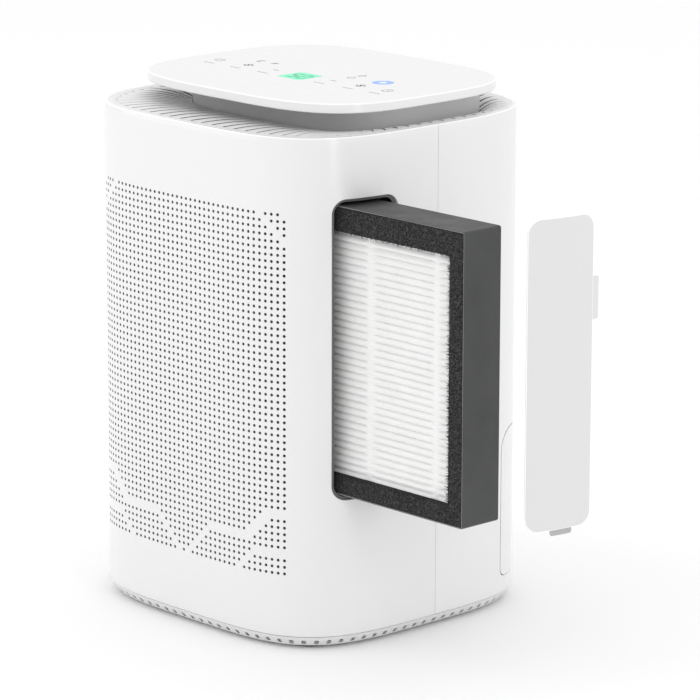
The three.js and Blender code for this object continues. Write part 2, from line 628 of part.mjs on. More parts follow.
function waterTank() {
  const inset = TANK_WALL + 1;
  const skin = plate(BODY, 0, TANK.z0, TANK.z1).intersect(prismX(tankWindow(0.4), -OUTSIDE, OUTSIDE));
  const inner = box(-TANK_INNER.halfWidth, TANK_INNER.halfWidth,
    TANK_INNER.y0, TANK_SHOULDER.y, TANK.z0 + 0.7, TANK_LID.z1 + 0.7);
  const low = tankPlan(inset, TANK.y0, TANK.z0 + TANK_WALL, TANK_SHOULDER.z);
  const middle = tankPlan(inset, TANK_SHOULDER.y, TANK_SHOULDER.z - 1, TANK_LID.z0 - GAP);
  const high = tankPlan(TANK_WALL, TANK_SHOULDER.y, TANK_LID.z0 - 2 * GAP, TANK.z1 + 5);
  const cavity = cut(join(low, middle, high), gripScoop(TANK_WALL));
  return cut(join(skin, inner), cavity, gripScoop(0));
}

// The lid carries a forked mast, which hangs down and holds the float's pin.
function tankLid() {
  const { x0, x1, y, z, pinHole } = FLOAT;
  const middle = (x0 + x1) / 2;
  const lid = tankPlan(TANK_WALL + GAP, TANK_SHOULDER.y, TANK_LID.z0, TANK_LID.z1);
  const mast = box(middle - 6, middle + 6, y - 4, y + 4, z - 3, TANK_LID.z1 - 0.8);
  const fork = box(middle - 2.5, middle + 2.5, y - 5, y + 5, z - 4, TANK_LID.z0);
  const pinRoom = cylinderX(pinHole, middle - 7, middle + 7, y, z, 16);
  const dripInlet = cylinderZ(TANK_LID.inletRadius, TANK_LID.z0 - 2, TANK.z1, 0, TANK_LID.inletY, 24);
  return cut(join(lid, mast), fork, pinRoom, dripInlet, gripScoop(TANK_WALL + 0.4));
}

function tankFloat() {
  const { x0, x1, y, z, reach, drop, radius, pinHole } = FLOAT;
  const middle = (x0 + x1) / 2;
  const eye = cylinderX(2.6, middle - 1.8, middle + 1.8, y, z, 20);
  const arm = box(middle - 1.5, middle + 1.5, y, y + reach + 2, z - 1.8, z + 1.8);
  const stem = box(middle - 1.5, middle + 1.5, y + reach - 2, y + reach + 2, z - drop + 6, z);
  const bob = cylinderX(radius, x0, x1, y + reach, z - drop, 28);
  return cut(join(eye, arm, stem, bob), cylinderX(pinHole, middle - 7, middle + 7, y, z, 16));
}

addPart(purifier, 'water_tank', waterTank(), WHITE);
addPart(purifier, 'tank_lid', tankLid(), SMOKE);
addPart(purifier, 'float_pin',
  cylinderX(FLOAT.pinHole - GAP, 28.3, 39.7, FLOAT.y, FLOAT.z, 16), STEEL);
addPart(purifier, 'tank_float', tankFloat(), RUBBER);

// ---------------------------------------------------------------- filter cassette, drawn out
const filter = new THREE.Group();
filter.position.x = FILTER_TRAVEL;
purifier.add(filter);

const MEDIA = {
  x0: FILTER.x0 + FILTER_BORDER.inner,
  x1: FILTER.x1 - FILTER_BORDER.outer,
  z0: FILTER.z0 + FILTER_BORDER.bottom,
  z1: FILTER.z1 - FILTER_BORDER.top,
};
const SEAL_DEPTH = 2.4;
const FRAME_LIP = 0.8;

const mediaBox = (grow, y0, y1) => (
  box(MEDIA.x0 - grow, MEDIA.x1 + grow, y0, y1, MEDIA.z0 - grow, MEDIA.z1 + grow)
);

function sealSolid(y0, y1, outerInset, innerGrow) {
  const slab = box(FILTER.x0 + outerInset, FILTER.x1 - outerInset, y0, y1,
    FILTER.z0 + outerInset, FILTER.z1 - outerInset);
  return cut(slab, mediaBox(innerGrow, y0 - 1, y1 + 1));
}

function filterFrame() {
  const { x0, x1, y0, y1, z0, z1 } = FILTER;
  return cut(
    box(x0, x1, y0, y1, z0, z1),
    mediaBox(0, y0 - 1, y1 + 1),
    sealSolid(y0 - 1, y0 + SEAL_DEPTH, FRAME_LIP, -2),
    sealSolid(y1 - SEAL_DEPTH, y1 + 1, FRAME_LIP, -2),
  );
}

// Pleats run along X: a zigzag sheet in the (Y, Z) plane, one fold per pleat. Its two faces are
// the same zigzag set apart in depth, which leaves a thin sheet on the steep flanks.
function filterMedia() {
  const faceShift = 3;
  const front = FILTER.y0 + SEAL_DEPTH + 1;
  const rear = FILTER.y1 - SEAL_DEPTH - 1 - faceShift;
  const low = MEDIA.z0 + GAP;
  const pitch = (MEDIA.z1 - MEDIA.z0 - 2 * GAP) / (2 * PLEAT_COUNT);
  const frontFace = [];
  const rearFace = [];
  for (let i = 0; i <= 2 * PLEAT_COUNT; i += 1) {
    const y = i % 2 ? rear : front;
    frontFace.push(new THREE.Vector2(y, low + i * pitch));
    rearFace.unshift(new THREE.Vector2(y + faceShift, low + i * pitch));
  }
  return prismX(new THREE.Shape([...frontFace, ...rearFace]), MEDIA.x0 + GAP, MEDIA.x1 - GAP);
}

addPart(filter, 'filter_frame', filterFrame(), CHARCOAL);
addPart(filter, 'filter_media', filterMedia(), PAPER);
addPart(filter, 'filter_seal_front',
  sealSolid(FILTER.y0, FILTER.y0 + SEAL_DEPTH - GAP, FRAME_LIP + GAP, 0), FOAM);
addPart(filter, 'filter_seal_rear',
  sealSolid(FILTER.y1 - SEAL_DEPTH + GAP, FILTER.y1, FRAME_LIP + GAP, 0), FOAM);

// ---------------------------------------------------------------- slot cover, taken off
const cover = new THREE.Group();
cover.position.set(COVER_TRAVEL.x, 0, COVER_TRAVEL.z);
purifier.add(cover);

const wallLayer = (near, far) => cut(plate(BODY, near, 0, ABOVE), plate(BODY, far, -1, ABOVE + 1));

// A flush panel with two finger tabs, and a rim on its back that plugs into the slot.
function filterCover() {
  const { thickness, grow, tabInset, plugReach, plugInset, plugWall } = COVER;
  const through = (inset, x0) => prismX(coverWindow(-inset, -inset - 0.7), x0, OUTSIDE);
  const panel = wallLayer(0, thickness).intersect(prismX(coverWindow(grow), 80, OUTSIDE));
  const tabs = wallLayer(tabInset, thickness).intersect(coverTabs(0));
  const plugRing = cut(through(plugInset, 80), through(plugInset + plugWall, 79));
  return join(panel, tabs, wallLayer(thickness - 0.2, plugReach).intersect(plugRing));
}

addPart(cover, 'filter_cover', filterCover(), WHITE);

export default purifier;
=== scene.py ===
"""Looks of a tabletop air purifier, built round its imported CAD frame.

Pieces are made in millimetres in the frame's own axes (+X filter slot, -Y perforated front,
+Z up) and turned into metres when each mesh is made.
"""
import json
import math

import bmesh
import bpy
import numpy as np
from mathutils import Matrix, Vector, noise

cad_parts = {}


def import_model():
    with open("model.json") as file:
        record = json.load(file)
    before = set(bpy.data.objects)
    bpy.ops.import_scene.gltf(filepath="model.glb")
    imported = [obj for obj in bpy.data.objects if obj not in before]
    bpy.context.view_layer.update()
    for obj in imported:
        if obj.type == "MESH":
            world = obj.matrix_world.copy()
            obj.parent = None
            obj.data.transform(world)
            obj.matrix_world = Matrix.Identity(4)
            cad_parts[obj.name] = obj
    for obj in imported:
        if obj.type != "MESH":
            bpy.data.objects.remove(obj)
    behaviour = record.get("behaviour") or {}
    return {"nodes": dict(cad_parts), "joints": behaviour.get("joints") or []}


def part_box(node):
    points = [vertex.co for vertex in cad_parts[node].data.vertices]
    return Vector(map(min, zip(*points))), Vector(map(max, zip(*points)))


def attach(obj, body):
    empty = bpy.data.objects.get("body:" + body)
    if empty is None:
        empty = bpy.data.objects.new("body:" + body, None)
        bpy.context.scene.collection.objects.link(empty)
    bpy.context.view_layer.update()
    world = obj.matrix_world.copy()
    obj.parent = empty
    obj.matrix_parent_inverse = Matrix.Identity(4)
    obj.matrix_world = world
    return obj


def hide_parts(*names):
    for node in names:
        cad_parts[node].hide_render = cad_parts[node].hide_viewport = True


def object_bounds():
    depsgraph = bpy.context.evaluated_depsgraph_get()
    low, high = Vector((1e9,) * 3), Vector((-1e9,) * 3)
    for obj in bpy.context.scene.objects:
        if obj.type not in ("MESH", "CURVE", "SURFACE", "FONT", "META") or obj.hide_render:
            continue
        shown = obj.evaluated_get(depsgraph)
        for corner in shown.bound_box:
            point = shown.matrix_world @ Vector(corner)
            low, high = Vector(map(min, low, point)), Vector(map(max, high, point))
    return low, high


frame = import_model()
cad_box = [list(corner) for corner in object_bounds()]
MM = 0.001
RNG = np.random.default_rng(7)


def box_mm(node):
    """Lowest and highest corner of a CAD node, in millimetres."""
    low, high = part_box(node)
    return np.array(low) / MM, np.array(high) / MM


# ---------- sizes read off the frame
FRONT_LOW, FRONT_HIGH = box_mm("front_shell")
REAR_LOW, REAR_HIGH = box_mm("rear_shell")
LID_LOW, LID_HIGH = box_mm("lid_panel")
NECK_LOW, NECK_HIGH = box_mm("neck_collar")
TRAY_LOW, TRAY_HIGH = box_mm("base_tray")
TANK_LOW, TANK_HIGH = box_mm("water_tank")
JACK_LOW, JACK_HIGH = box_mm("power_jack")
WINDOW_LOW, WINDOW_HIGH = box_mm("display_window")
LOCK_LOW, LOCK_HIGH = box_mm("lock_light")
FILTER_LOW, FILTER_HIGH = box_mm("filter_frame")
MEDIA_LOW, MEDIA_HIGH = box_mm("filter_media")
SHELL_LOW, SHELL_TOP = FRONT_LOW[2], FRONT_HIGH[2]
JOINTS = {joint["name"]: joint for joint in frame["joints"]}
WALL = 3.0
SEAM_CLOSE = 0.03  # how far each shell reaches over its CAD edge, to narrow the seam


# ---------- plan outlines
OUTLINE_STEPS = 16384


class Outline:
    """A superellipse in plan, with powers n in x and m in y. Higher powers are squarer.

    s is the arc length from the front middle, anticlockwise.
    """

    def __init__(self, a, b, n, m, cy=0.0):
        self.a, self.b, self.n, self.m, self.cy = a, b, n, m, cy
        t = np.linspace(-math.pi / 2, 1.5 * math.pi, OUTLINE_STEPS + 1)
        c, s = np.cos(t), np.sin(t)
        self.x = a * np.sign(c) * np.abs(c) ** (2 / n)
        self.y = b * np.sign(s) * np.abs(s) ** (2 / m)
        self.run = np.concatenate([[0], np.cumsum(np.hypot(np.diff(self.x), np.diff(self.y)))])
        self.length = self.run[-1]

    def at(self, s, depth=0.0):
        """Points (x, y) at arc length s, set in from the surface by depth."""
        s = np.mod(s, self.length)
        x, y = np.interp(s, self.run, self.x), np.interp(s, self.run, self.y)
        u = self.n * np.sign(x) * np.abs(x / self.a) ** (self.n - 1) / self.a
        v = self.m * np.sign(y) * np.abs(y / self.b) ** (self.m - 1) / self.b
        size = np.hypot(u, v)
        return np.stack([x - depth * u / size, self.cy + y - depth * v / size], -1)

    def s_at_y(self, y):
        """Arc length at which the right-hand side reaches y."""
        right = slice(0, OUTLINE_STEPS // 2)
        return float(np.interp(y - self.cy, self.y[right], self.run[right]))

    def s_at_rear_x(self, x):
        """Arc length at which the right half of the rear reaches x."""
        rear = slice(OUTLINE_STEPS // 4, OUTLINE_STEPS // 2 + 1)
        return float(np.interp(-x, -self.x[rear], self.run[rear]))


BODY = Outline(FRONT_HIGH[0], REAR_HIGH[1], 3.96, 3.66)
LID = Outline(LID_HIGH[0], (LID_HIGH[1] - LID_LOW[1]) / 2, 3.6, 3.6, (LID_HIGH[1] + LID_LOW[1]) / 2)
NECK = Outline(NECK_HIGH[0], (NECK_HIGH[1] - NECK_LOW[1]) / 2, 4, 4, (NECK_HIGH[1] + NECK_LOW[1]) / 2)


# ---------- mesh making
def face_outwards(mesh):
    """Turns every closed shell's faces outwards and drops points that no face uses."""
    work = bmesh.new()
    work.from_mesh(mesh)
    bmesh.ops.delete(work, geom=[v for v in work.verts if not v.link_faces], context="VERTS")
    bmesh.ops.recalc_face_normals(work, faces=work.faces)
    work.to_mesh(mesh)
    work.free()


def put(name, data):
    """A new object in the scene."""
    thing = bpy.data.objects.new(name, data)
    bpy.context.scene.collection.objects.link(thing)
    return thing


class Builder:
    """Collects points and faces for one mesh. A ring is a closed run of point numbers.

    Faces may run either way round, because the finished mesh has them all turned outwards.
    """

    def __init__(self):
        self.blocks, self.count = [], 0
        self.faces, self.slots = [], []

    def add(self, points):
        points = np.asarray(points, float).reshape(-1, 3)
        ids = np.arange(self.count, self.count + len(points))
        self.blocks.append(points)
        self.count += len(points)
        return ids

    def plan_ring(self, outline, s, depth, z):
        """A level ring at height z, set in from an outline by depth."""
        return self.add(np.concatenate([outline.at(s, depth), np.full((len(s), 1), z)], -1))

    def face(self, ids, slot=0):
        self.faces.append([int(i) for i in ids])
        self.slots.append(slot)

    def strip(self, near, far, slot=0):
        """Quads between two rings of the same length."""
        for quad in zip(near, np.roll(near, -1), np.roll(far, -1), far):
            self.face(quad, slot)

    def sheet(self, grid, slot=0):
        """Quads over a grid of point numbers."""
        for near, far in zip(grid, grid[1:]):
            for quad in zip(near, near[1:], far[1:], far):
                self.face(quad, slot)

    def loft(self, rings, closed=False, bright_edges=()):
        """Strips from ring to ring, then one from the last to the first, or a cap on each end.

        The last argument numbers the strips that take the second material: a painted highlight
        on the lid's top edge, lighter lips on the cassette frame.
        """
        for step, (near, far) in enumerate(zip(rings, rings[1:])):
            self.strip(near, far, int(step in bright_edges))
        if closed:
            self.strip(rings[-1], rings[0])
        else:
            self.face(rings[0][::-1])
            self.face(rings[-1])

    def object(self, name, materials, smooth=30.0):
        """The finished mesh as an object, with edges sharp where they turn by over smooth degrees."""
        mesh = bpy.data.meshes.new(name)
        mesh.from_pydata((np.concatenate(self.blocks) * MM).tolist(), [], self.faces)
        mesh.polygons.foreach_set("use_smooth", [True] * len(mesh.polygons))
        mesh.polygons.foreach_set("material_index", self.slots)
        face_outwards(mesh)
        mesh.validate()
        mesh.set_sharp_from_angle(angle=math.radians(smooth))
        for material in materials:
            mesh.materials.append(material)
        return put(name, mesh)


def finish_piece(piece, body, slot, *nodes):
    """Puts a piece on its body and hides the CAD nodes that it stands for."""
    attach(piece, body)
    if nodes:
        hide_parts(*nodes)


def weigh_normals(piece):
    """Keeps large flat faces flat where small rounded edges meet them."""
    modifier = piece.modifiers.new("weights", "WEIGHTED_NORMAL")
    modifier.keep_sharp = True
    modifier.weight = 80


def lines(*values, step):
    """Grid lines through the given values, with others at most step apart between them."""
    values = sorted(set(round(v, 4) for v in values))
    out = [values[0]]
    for low, high in zip(values, values[1:]):
        parts = max(1, math.ceil((high - low) / step))
        out.extend(low + (high - low) * (k + 1) / parts for k in range(parts))
    return np.array(out)


def nearest(values, value):
    """Index of the value nearest to the given one."""
    return int(np.abs(values - value).argmin())


# ---------- openings in a curved wall
# Material slots of a wall: 1 is a painted highlight on the rims, 2 is painted shade on an opening's
# ledge and inner wall, 3 is painted shade on the hole walls.
HIGHLIGHT_SLOT, SHADE_SLOT, HOLE_SLOT = 1, 2, 3
RIM_TURN = ((0.3, 0.7), (1.0, 1.0))  # points of a rounded rim, as (depth, height) in its radii
ROUNDING = 0.001  # grid lines are rounded, so a point on a bump's limit may lie this far off it


class Opening:
    """A rounded window in a wall, in (s, z), cut out of a patch of the wall's grid.

    profile lists (grow, depth, axes): loops from the wall's outer face to its inner face,
    each grown out from the window's outline. bumps are (axis, side, low, high, reach) notches,
    which a loop has where its axes name theirs. The last argument numbers the strips between
    loops, counted from the wall's outer face, that take a darker material: painted shade on the
    wall's own plastic.
    """

    def __init__(self, s0, s1, z0, z1, low_radius, top_radius, margin, profile, bumps=(),
                 lining=()):
        self.rect = (s0, s1, z0, z1)
        self.radii = (low_radius, top_radius)
        self.patch = (s0 - margin, s1 + margin, z0 - margin, z1 + margin)
        self.profile, self.bumps, self.lining = profile, bumps, lining

    def nearest_point(self, s, z):
        """Nearest point of the outline to (s, z), and the outward direction there."""
        s0, s1, z0, z1 = self.rect
        radius = self.radii[1] if z > (z0 + z1) / 2 else self.radii[0]
        cs = min(max(s, s0 + radius), s1 - radius)
        cz = min(max(z, z0 + radius), z1 - radius)
        ds, dz = s - cs, z - cz
        size = math.hypot(ds, dz) or 1.0
        ds, dz = ds / size, dz / size
        return cs + ds * radius, cz + dz * radius, ds, dz

    def loops(self, border):
        """One list of (s, z, depth) per profile step, matched to the patch's border points."""
        found = [self.nearest_point(s, z) for s, z in border]
        out = []
        for grow, depth, axes in self.profile:
            loop = []
            for s, z, ds, dz in found:
                s, z = s + ds * grow, z + dz * grow
                for axis, side, low, high, reach in self.bumps:
                    along, across = (z, ds) if axis == "s" else (s, dz)
                    inside = low - ROUNDING <= along <= high + ROUNDING
                    if axis in axes and across * side > 0.7 and inside:
                        s += side * reach if axis == "s" else 0
                        z += side * reach if axis == "z" else 0
                loop.append((s, z, depth))
            out.append(loop)
        return out


def wall_mesh(outline, s_lines, z_lines, openings, holes=((), 0.0), lean=None, edge=0.5, wall=WALL,
              closed=False, bright_edges=False):
    """A curved wall of the given thickness with rounded rims, openings and round holes.

    holes is (cell blocks, radius): each block is its first and last line in s and in z, with
    the hole in its middle. lean(z) sets the outline in by a depth that depends on z. The top
    edge takes the second material, a painted highlight, where the last flag is True.
    """
    build = Builder()
    rows, width, rim = len(z_lines), len(s_lines), 2 * len(RIM_TURN)
    first_inner, last_inner = rows + rim, 2 * rows + rim - 1

    def place(s, z, depth):
        s, z, depth = np.broadcast_arrays(s, z, depth)
        inset = depth + (lean(z) if lean else 0.0)
        return np.concatenate([outline.at(s, inset), z[..., None]], -1)

    def inner(row):
        """The level on the inner face that lies behind a row of the outer face."""
        return last_inner - row

    low, top = z_lines[0], z_lines[-1]
    section = [(0.0, z) for z in z_lines]
    section += [(edge * d, top + edge * h) for d, h in RIM_TURN]
    section += [(wall - edge * d, top + edge * h) for d, h in RIM_TURN[::-1]]
    section += [(wall, z) for z in z_lines[::-1]]
    section += [(wall - edge * d, low - edge * h) for d, h in RIM_TURN]
    section += [(edge * d, low - edge * h) for d, h in RIM_TURN[::-1]]
    depth, height = (np.array(v)[:, None] for v in zip(*section))
    grid = build.add(place(s_lines[None, :], height, depth)).reshape(len(section), width)

    blocks, radius = holes
    patches = []
    for opening in openings:
        s0, s1, z0, z1 = opening.patch
        patches.append((nearest(s_lines, s0), nearest(s_lines, s1),
                        nearest(z_lines, z0), nearest(z_lines, z1)))
    taken = np.zeros((rows - 1, width - 1), bool)
    for j0, j1, i0, i1 in (*patches, *blocks):
        taken[i0:i1, j0:j1] = True

    for level in range(len(section)):
        after = (level + 1) % len(section)
        row = level if level < rows - 1 else inner(level) - 1
        skin = level < rows - 1 or first_inner <= level < last_inner
        # The rows round the top rim take a painted highlight.
        slot = HIGHLIGHT_SLOT if bright_edges and rows - 1 <= level <= rows + 1 else 0
        for j in range(width if closed else width - 1):
            if not (skin and j < width - 1 and taken[row, j]):
                k = (j + 1) % width
                build.face((grid[level, j], grid[level, k], grid[after, k], grid[after, j]), slot)
    for j in () if closed else (0, width - 1):
        for i in range(rows - 1):
            build.face((grid[i, j], grid[i + 1, j], grid[inner(i + 1), j], grid[inner(i), j]))
        build.face(grid[rows - 1:first_inner + 1, j])
        build.face([*grid[last_inner:, j], grid[0, j]])

    def border(j0, j1, i0, i1):
        """Places (s, z) round a block of cells, and its points on the outer and inner faces."""
        walk = [(i0, j) for j in range(j0, j1)] + [(i, j1) for i in range(i0, i1)]
        walk += [(i1, j) for j in range(j1, j0, -1)] + [(i, j0) for i in range(i1, i0, -1)]
        places = [(s_lines[j], z_lines[i]) for i, j in walk]
        return places, [grid[i, j] for i, j in walk], [grid[inner(i), j] for i, j in walk]

    for opening, patch in zip(openings, patches):
        places, outside, inside = border(*patch)
        loops = [build.add(place(*np.array(loop).T)) for loop in opening.loops(places)]
        chain = [outside, *loops, inside]
        for step, (near, far) in enumerate(zip(chain, chain[1:])):
            build.strip(near, far, SHADE_SLOT if step in opening.lining else 0)
    for block in blocks:
        places, outside, inside = border(*block)
        j0, j1, i0, i1 = block
        middle = np.array([s_lines[j0] + s_lines[j1], z_lines[i0] + z_lines[i1]]) / 2
        way = np.array(places) - middle
        s, z = (middle + radius * way / np.hypot(*way.T)[:, None]).T
        near, far = build.add(place(s, z, 0.0)), build.add(place(s, z, wall))
        build.strip(outside, near)
        # The hole walls take slot 3, painted shade.
        build.strip(near, far, HOLE_SLOT)
        build.strip(far, inside)
    return build


# ---------- materials
def feed(node, inputs):
    """Sets a node's inputs to constants, or links them to other nodes' outputs."""
    for name, value in inputs.items():
        if isinstance(value, bpy.types.NodeSocket):
            node.id_data.links.new(value, node.inputs[name])
        else:
            node.inputs[name].default_value = value
    return node


def shader(name, color, roughness, metallic=0.0):
    """A new material, its node tree and its principled node."""
    material = bpy.data.materials.new(name)
    material.use_nodes = True
    tree = material.node_tree
    principled = feed(tree.nodes["Principled BSDF"],
                      {"Base Color": (*color, 1), "Roughness": roughness, "Metallic": metallic})
    return material, tree, principled


def object_place(tree):
    return tree.nodes.new("ShaderNodeTexCoord").outputs["Object"]


def object_noise(tree, scale, detail=3.0, stretch=(1, 1, 1)):
    mapping = feed(tree.nodes.new("ShaderNodeMapping"),
                   {"Scale": stretch, "Vector": object_place(tree)})
    texture = feed(tree.nodes.new("ShaderNodeTexNoise"),
                   {"Scale": scale, "Detail": detail, "Vector": mapping.outputs["Vector"]})
    return texture.outputs["Fac"]


def number_ramp(tree, value, low, high, start=0.3, end=0.7):
    """Maps a value's range from start to end onto low..high."""
    mapper = feed(tree.nodes.new("ShaderNodeMapRange"),
                  {"From Min": start, "From Max": end, "To Min": low, "To Max": high,
                   "Value": value})
    return mapper.outputs["Result"]


def color_ramp(tree, value, low, high):
    """Maps 0..1 onto two colours."""
    mixer = tree.nodes.new("ShaderNodeMix")
    mixer.data_type = "RGBA"
    feed(mixer, {"A": (*low, 1), "B": (*high, 1), "Factor": value})
    return mixer.outputs["Result"]


def add_bump(tree, principled, height, strength, distance=0.0001):
    bump = feed(tree.nodes.new("ShaderNodeBump"),
                {"Strength": strength, "Distance": distance, "Height": height})
    feed(principled, {"Normal": bump.outputs["Normal"]})


def plastic(name, color, roughness, spread=0.04, tint=0.02, grain=900.0, bump=0.05, coat=0.0):
    """Moulded plastic: faint colour drift, roughness that varies, and a fine moulded grain."""
    material, tree, principled = shader(name, color, roughness)
    drift, wear = object_noise(tree, 18.0), object_noise(tree, 60.0, 5.0)
    dark, light = ([min(1.0, c * (1 + side * tint)) for c in color] for side in (-1, 1))
    feed(principled, {"Base Color": color_ramp(tree, drift, dark, light),
                      "Roughness": number_ramp(tree, wear, roughness - spread, roughness + spread),
                      "Coat Weight": coat, "Coat Roughness": 0.08})
    add_bump(tree, principled, object_noise(tree, grain, 2.0), bump)
    return material


def metal(name, color, roughness, stretch):
    """Metal with drawn or milled lines along one axis."""
    material, tree, principled = shader(name, color, roughness, 1.0)
    brushed = object_noise(tree, 300.0, 4.0, stretch)
    worn = number_ramp(tree, brushed, roughness - 0.08, roughness + 0.12)
    feed(principled, {"Roughness": worn})
    add_bump(tree, principled, brushed, 0.15)
    return material


def glow(name, color, strength, face):
    """A lit surface that fades a little across its face."""
    material, tree, principled = shader(name, face, 0.3)
    fade = color_ramp(tree, object_noise(tree, 40.0), [0.82 * c for c in color], color)
    feed(principled, {"Emission Color": fade, "Emission Strength": strength})
    return material


def filter_paper():
    """Fibrous filter paper: matte, slightly translucent, with a fine felted surface."""
    material, tree, principled = shader("filter_paper", (0.9, 0.9, 0.895), 0.9)
    cloud = object_noise(tree, 90.0, 4.0)
    feed(principled, {"Base Color": color_ramp(tree, cloud, (0.80, 0.80, 0.795), (0.88, 0.88, 0.875)),
                      "Subsurface Weight": 0.12, "Subsurface Radius": (0.002, 0.002, 0.002)})
    add_bump(tree, principled, object_noise(tree, 1500.0, 6.0, (0.35, 1, 1)), 0.6, 0.0002)
    return material


def foam():
    """Open-cell black foam: painted shade makes the pits darker than the cell walls."""
    material, tree, principled = shader("foam", (0.02, 0.02, 0.021), 0.95)
    cells = feed(tree.nodes.new("ShaderNodeTexVoronoi"),
                 {"Scale": 1150.0, "Vector": object_place(tree)}).outputs["Distance"]
    shade = number_ramp(tree, cells, 0.0, 1.0, 0.25, 0.85)
    # Darker towards each cell's middle: painted shade in the pits.
    tone = color_ramp(tree, shade, (0.004, 0.004, 0.004), (0.062, 0.062, 0.064))
    feed(principled, {"Base Color": tone, "Sheen Weight": 0.02, "Sheen Roughness": 0.5,
                      "Specular IOR Level": 0.2})
    add_bump(tree, principled, cells, 0.9, 0.0006)
    return material


def clear_plastic():
    """Clear moulded plastic with faint flow marks."""
    material, tree, principled = shader("clear_plastic", (0.86, 0.88, 0.9), 0.12)
    marks = number_ramp(tree, object_noise(tree, 120.0, 4.0), 0.08, 0.2)
    feed(principled, {"Roughness": marks, "Alpha": 0.45})
    return material


def nylon_net():
    """Fine woven nylon net, as a tight two-way weave."""
    material, tree, principled = shader("nylon_net", (0.05, 0.05, 0.052), 0.7)
    weave = feed(tree.nodes.new("ShaderNodeTexBrick"),
                 {"Scale": 600.0, "Color1": (0.09, 0.09, 0.095, 1), "Color2": (0.07, 0.07, 0.075, 1),
                  "Mortar": (0.02, 0.02, 0.02, 1), "Vector": object_place(tree)})
    feed(principled, {"Base Color": weave.outputs["Color"]})
    add_bump(tree, principled, weave.outputs["Fac"], 0.5, 0.0002)
    return material


WHITE = plastic("white_gloss", (0.78, 0.78, 0.783), 0.2, 0.03, 0.006, 1400.0, 0.02, 0.4)
# A brighter copy of the white plastic, for rims and edges: a painted highlight.
EDGE_HIGHLIGHT = plastic("white_edge_highlight", (0.93, 0.93, 0.93), 0.15, 0.03, 0.01, 1400.0, 0.01, 0.4)
GRILLE_WHITE = plastic("white_satin", (0.80, 0.80, 0.803), 0.36, 0.05, 0.015, 1100.0, 0.08)
NECK_GREY = plastic("neck_satin", (0.6, 0.6, 0.605), 0.34, 0.05, 0.03, 800.0, 0.12)
INNER_GREY = plastic("inner_matte", (0.10, 0.10, 0.103), 0.55, 0.06, 0.04, 700.0, 0.2)
# Painted shade on the cover's hook, which is the cover's white plastic.
HOOK_SHADE = plastic("hook_painted_shade", (0.42, 0.42, 0.425), 0.4)
SHADED_GREY = plastic("shaded_grey", (0.16, 0.16, 0.163), 0.6, 0.05, 0.03, 900.0, 0.1)
# Painted shade on the white plastic of the slot's ledge and inner wall.
BAY_LIP_SHADE = plastic("bay_lip_painted_shade", (0.12, 0.12, 0.122), 0.5, 0.06, 0.04, 700.0, 0.2)
# Painted shade on the walls of the front's holes, which are the white plastic.
HOLE_SHADE = plastic("hole_painted_shade", (0.34, 0.34, 0.345), 0.5, 0.06, 0.04, 700.0, 0.2)
INK = plastic("printed_ink", (0.13, 0.13, 0.135), 0.5, 0.05, 0.1)
GREEN_INK = plastic("green_ink", (0.02, 0.36, 0.17), 0.3, 0.05, 0.08, 900.0, 0.03)
WHITE_INK = plastic("white_ink", (0.9, 0.92, 0.95), 0.4, 0.05, 0.03, 900.0, 0.03)
LIGHT_LIP = plastic("lighter_board_edge", (0.2, 0.2, 0.205), 0.7, 0.1, 0.75, 1600.0, 0.5)
TRAY_GREY = plastic("tray_matte", (0.72, 0.72, 0.725), 0.5, 0.06, 0.03, 900.0, 0.15)
# A darker copy of the white plastic for the cover: painted shade.
COVER_SHADED_WHITE = plastic("cover_white_painted_shade", (0.685, 0.685, 0.687), 0.24, 0.03, 0.006, 1400.0, 0.02, 0.3)
CHARCOAL = plastic("charcoal_board", (0.047, 0.048, 0.05), 0.5, 0.08, 0.12, 500.0, 0.5)
BLACK = plastic("black_plastic", (0.02, 0.02, 0.022), 0.45, 0.08, 0.1, 700.0, 0.2)
RUBBER = plastic("rubber", (0.03, 0.03, 0.031), 0.8, 0.08, 0.15, 500.0, 0.4)
BOARD = plastic("solder_mask", (0.02, 0.12, 0.05), 0.35, 0.08, 0.15, 500.0, 0.3)
CERAMIC = plastic("ceramic", (0.78, 0.76, 0.7), 0.6, 0.06, 0.05, 700.0, 0.2)
ALUMINIUM = metal("aluminium_fins", (0.72, 0.73, 0.75), 0.38, (1, 1, 0.03))
STEEL = metal("plated_steel", (0.6, 0.61, 0.62), 0.3, (0.05, 1, 1))
GREEN_GLOW = glow("display_glow", (0.08, 0.72, 0.42), 0.65, (0.05, 0.4, 0.22))
BLUE_GLOW = glow("lock_glow", (0.16, 0.36, 1.0), 0.6, (0.08, 0.18, 0.6))
PAPER = filter_paper()
FOAM = foam()
CLEAR = clear_plastic()
NET = nylon_net()


# ---------- front and rear shells
COLUMN_PITCH, ROW_PITCH = 4.05, 4.0
COLUMNS, ROWS = 41, 55
HOLE_RADIUS = 0.98
HOLE_TOP = SHELL_LOW + 254.45
EDGE = 0.55
SLOT_Z = (SHELL_LOW + 85, SHELL_LOW + 261.5)
SLOT_S = (BODY.s_at_y(-72.5), BODY.s_at_y(-31.6))
SLOT_RADIUS = 7.0
SLOT_HEIGHT = SLOT_Z[1] - SLOT_Z[0]
TAB_Z = (SLOT_Z[1] - 0.34 * SLOT_HEIGHT, SLOT_Z[1] - 0.2 * SLOT_HEIGHT)
TAB_REACH = 6.5
HOOK_S = (BODY.s_at_y(-58), BODY.s_at_y(-43))
HOOK_REACH, HOOK_SKIN = 5.0, 1.0  # the hook's pocket lies behind a skin of the shell
REBATE_DEPTH, REBATE_GROW = 1.8, 1.9


def has_hole(column, row):
    """True where the front has a hole: not in its cut corners, nor on its two bent blank lines."""
    k = abs(column - COLUMNS // 2)
    corner = k - 16 == row or (k == 20 and row == 0)
    upper_line = (row == 45 and k >= 17) or (row == 49 and 6 <= k <= 14)
    upper_bend = 46 <= row <= 48 and k in (62 - row, 63 - row)
    lower_line = row == 51 and k >= 15
    lower_bend = (row >= 50 and k == 55 - row) or (row >= 52 and k == 66 - row)
    return not (corner or upper_line or upper_bend or lower_line or lower_bend)


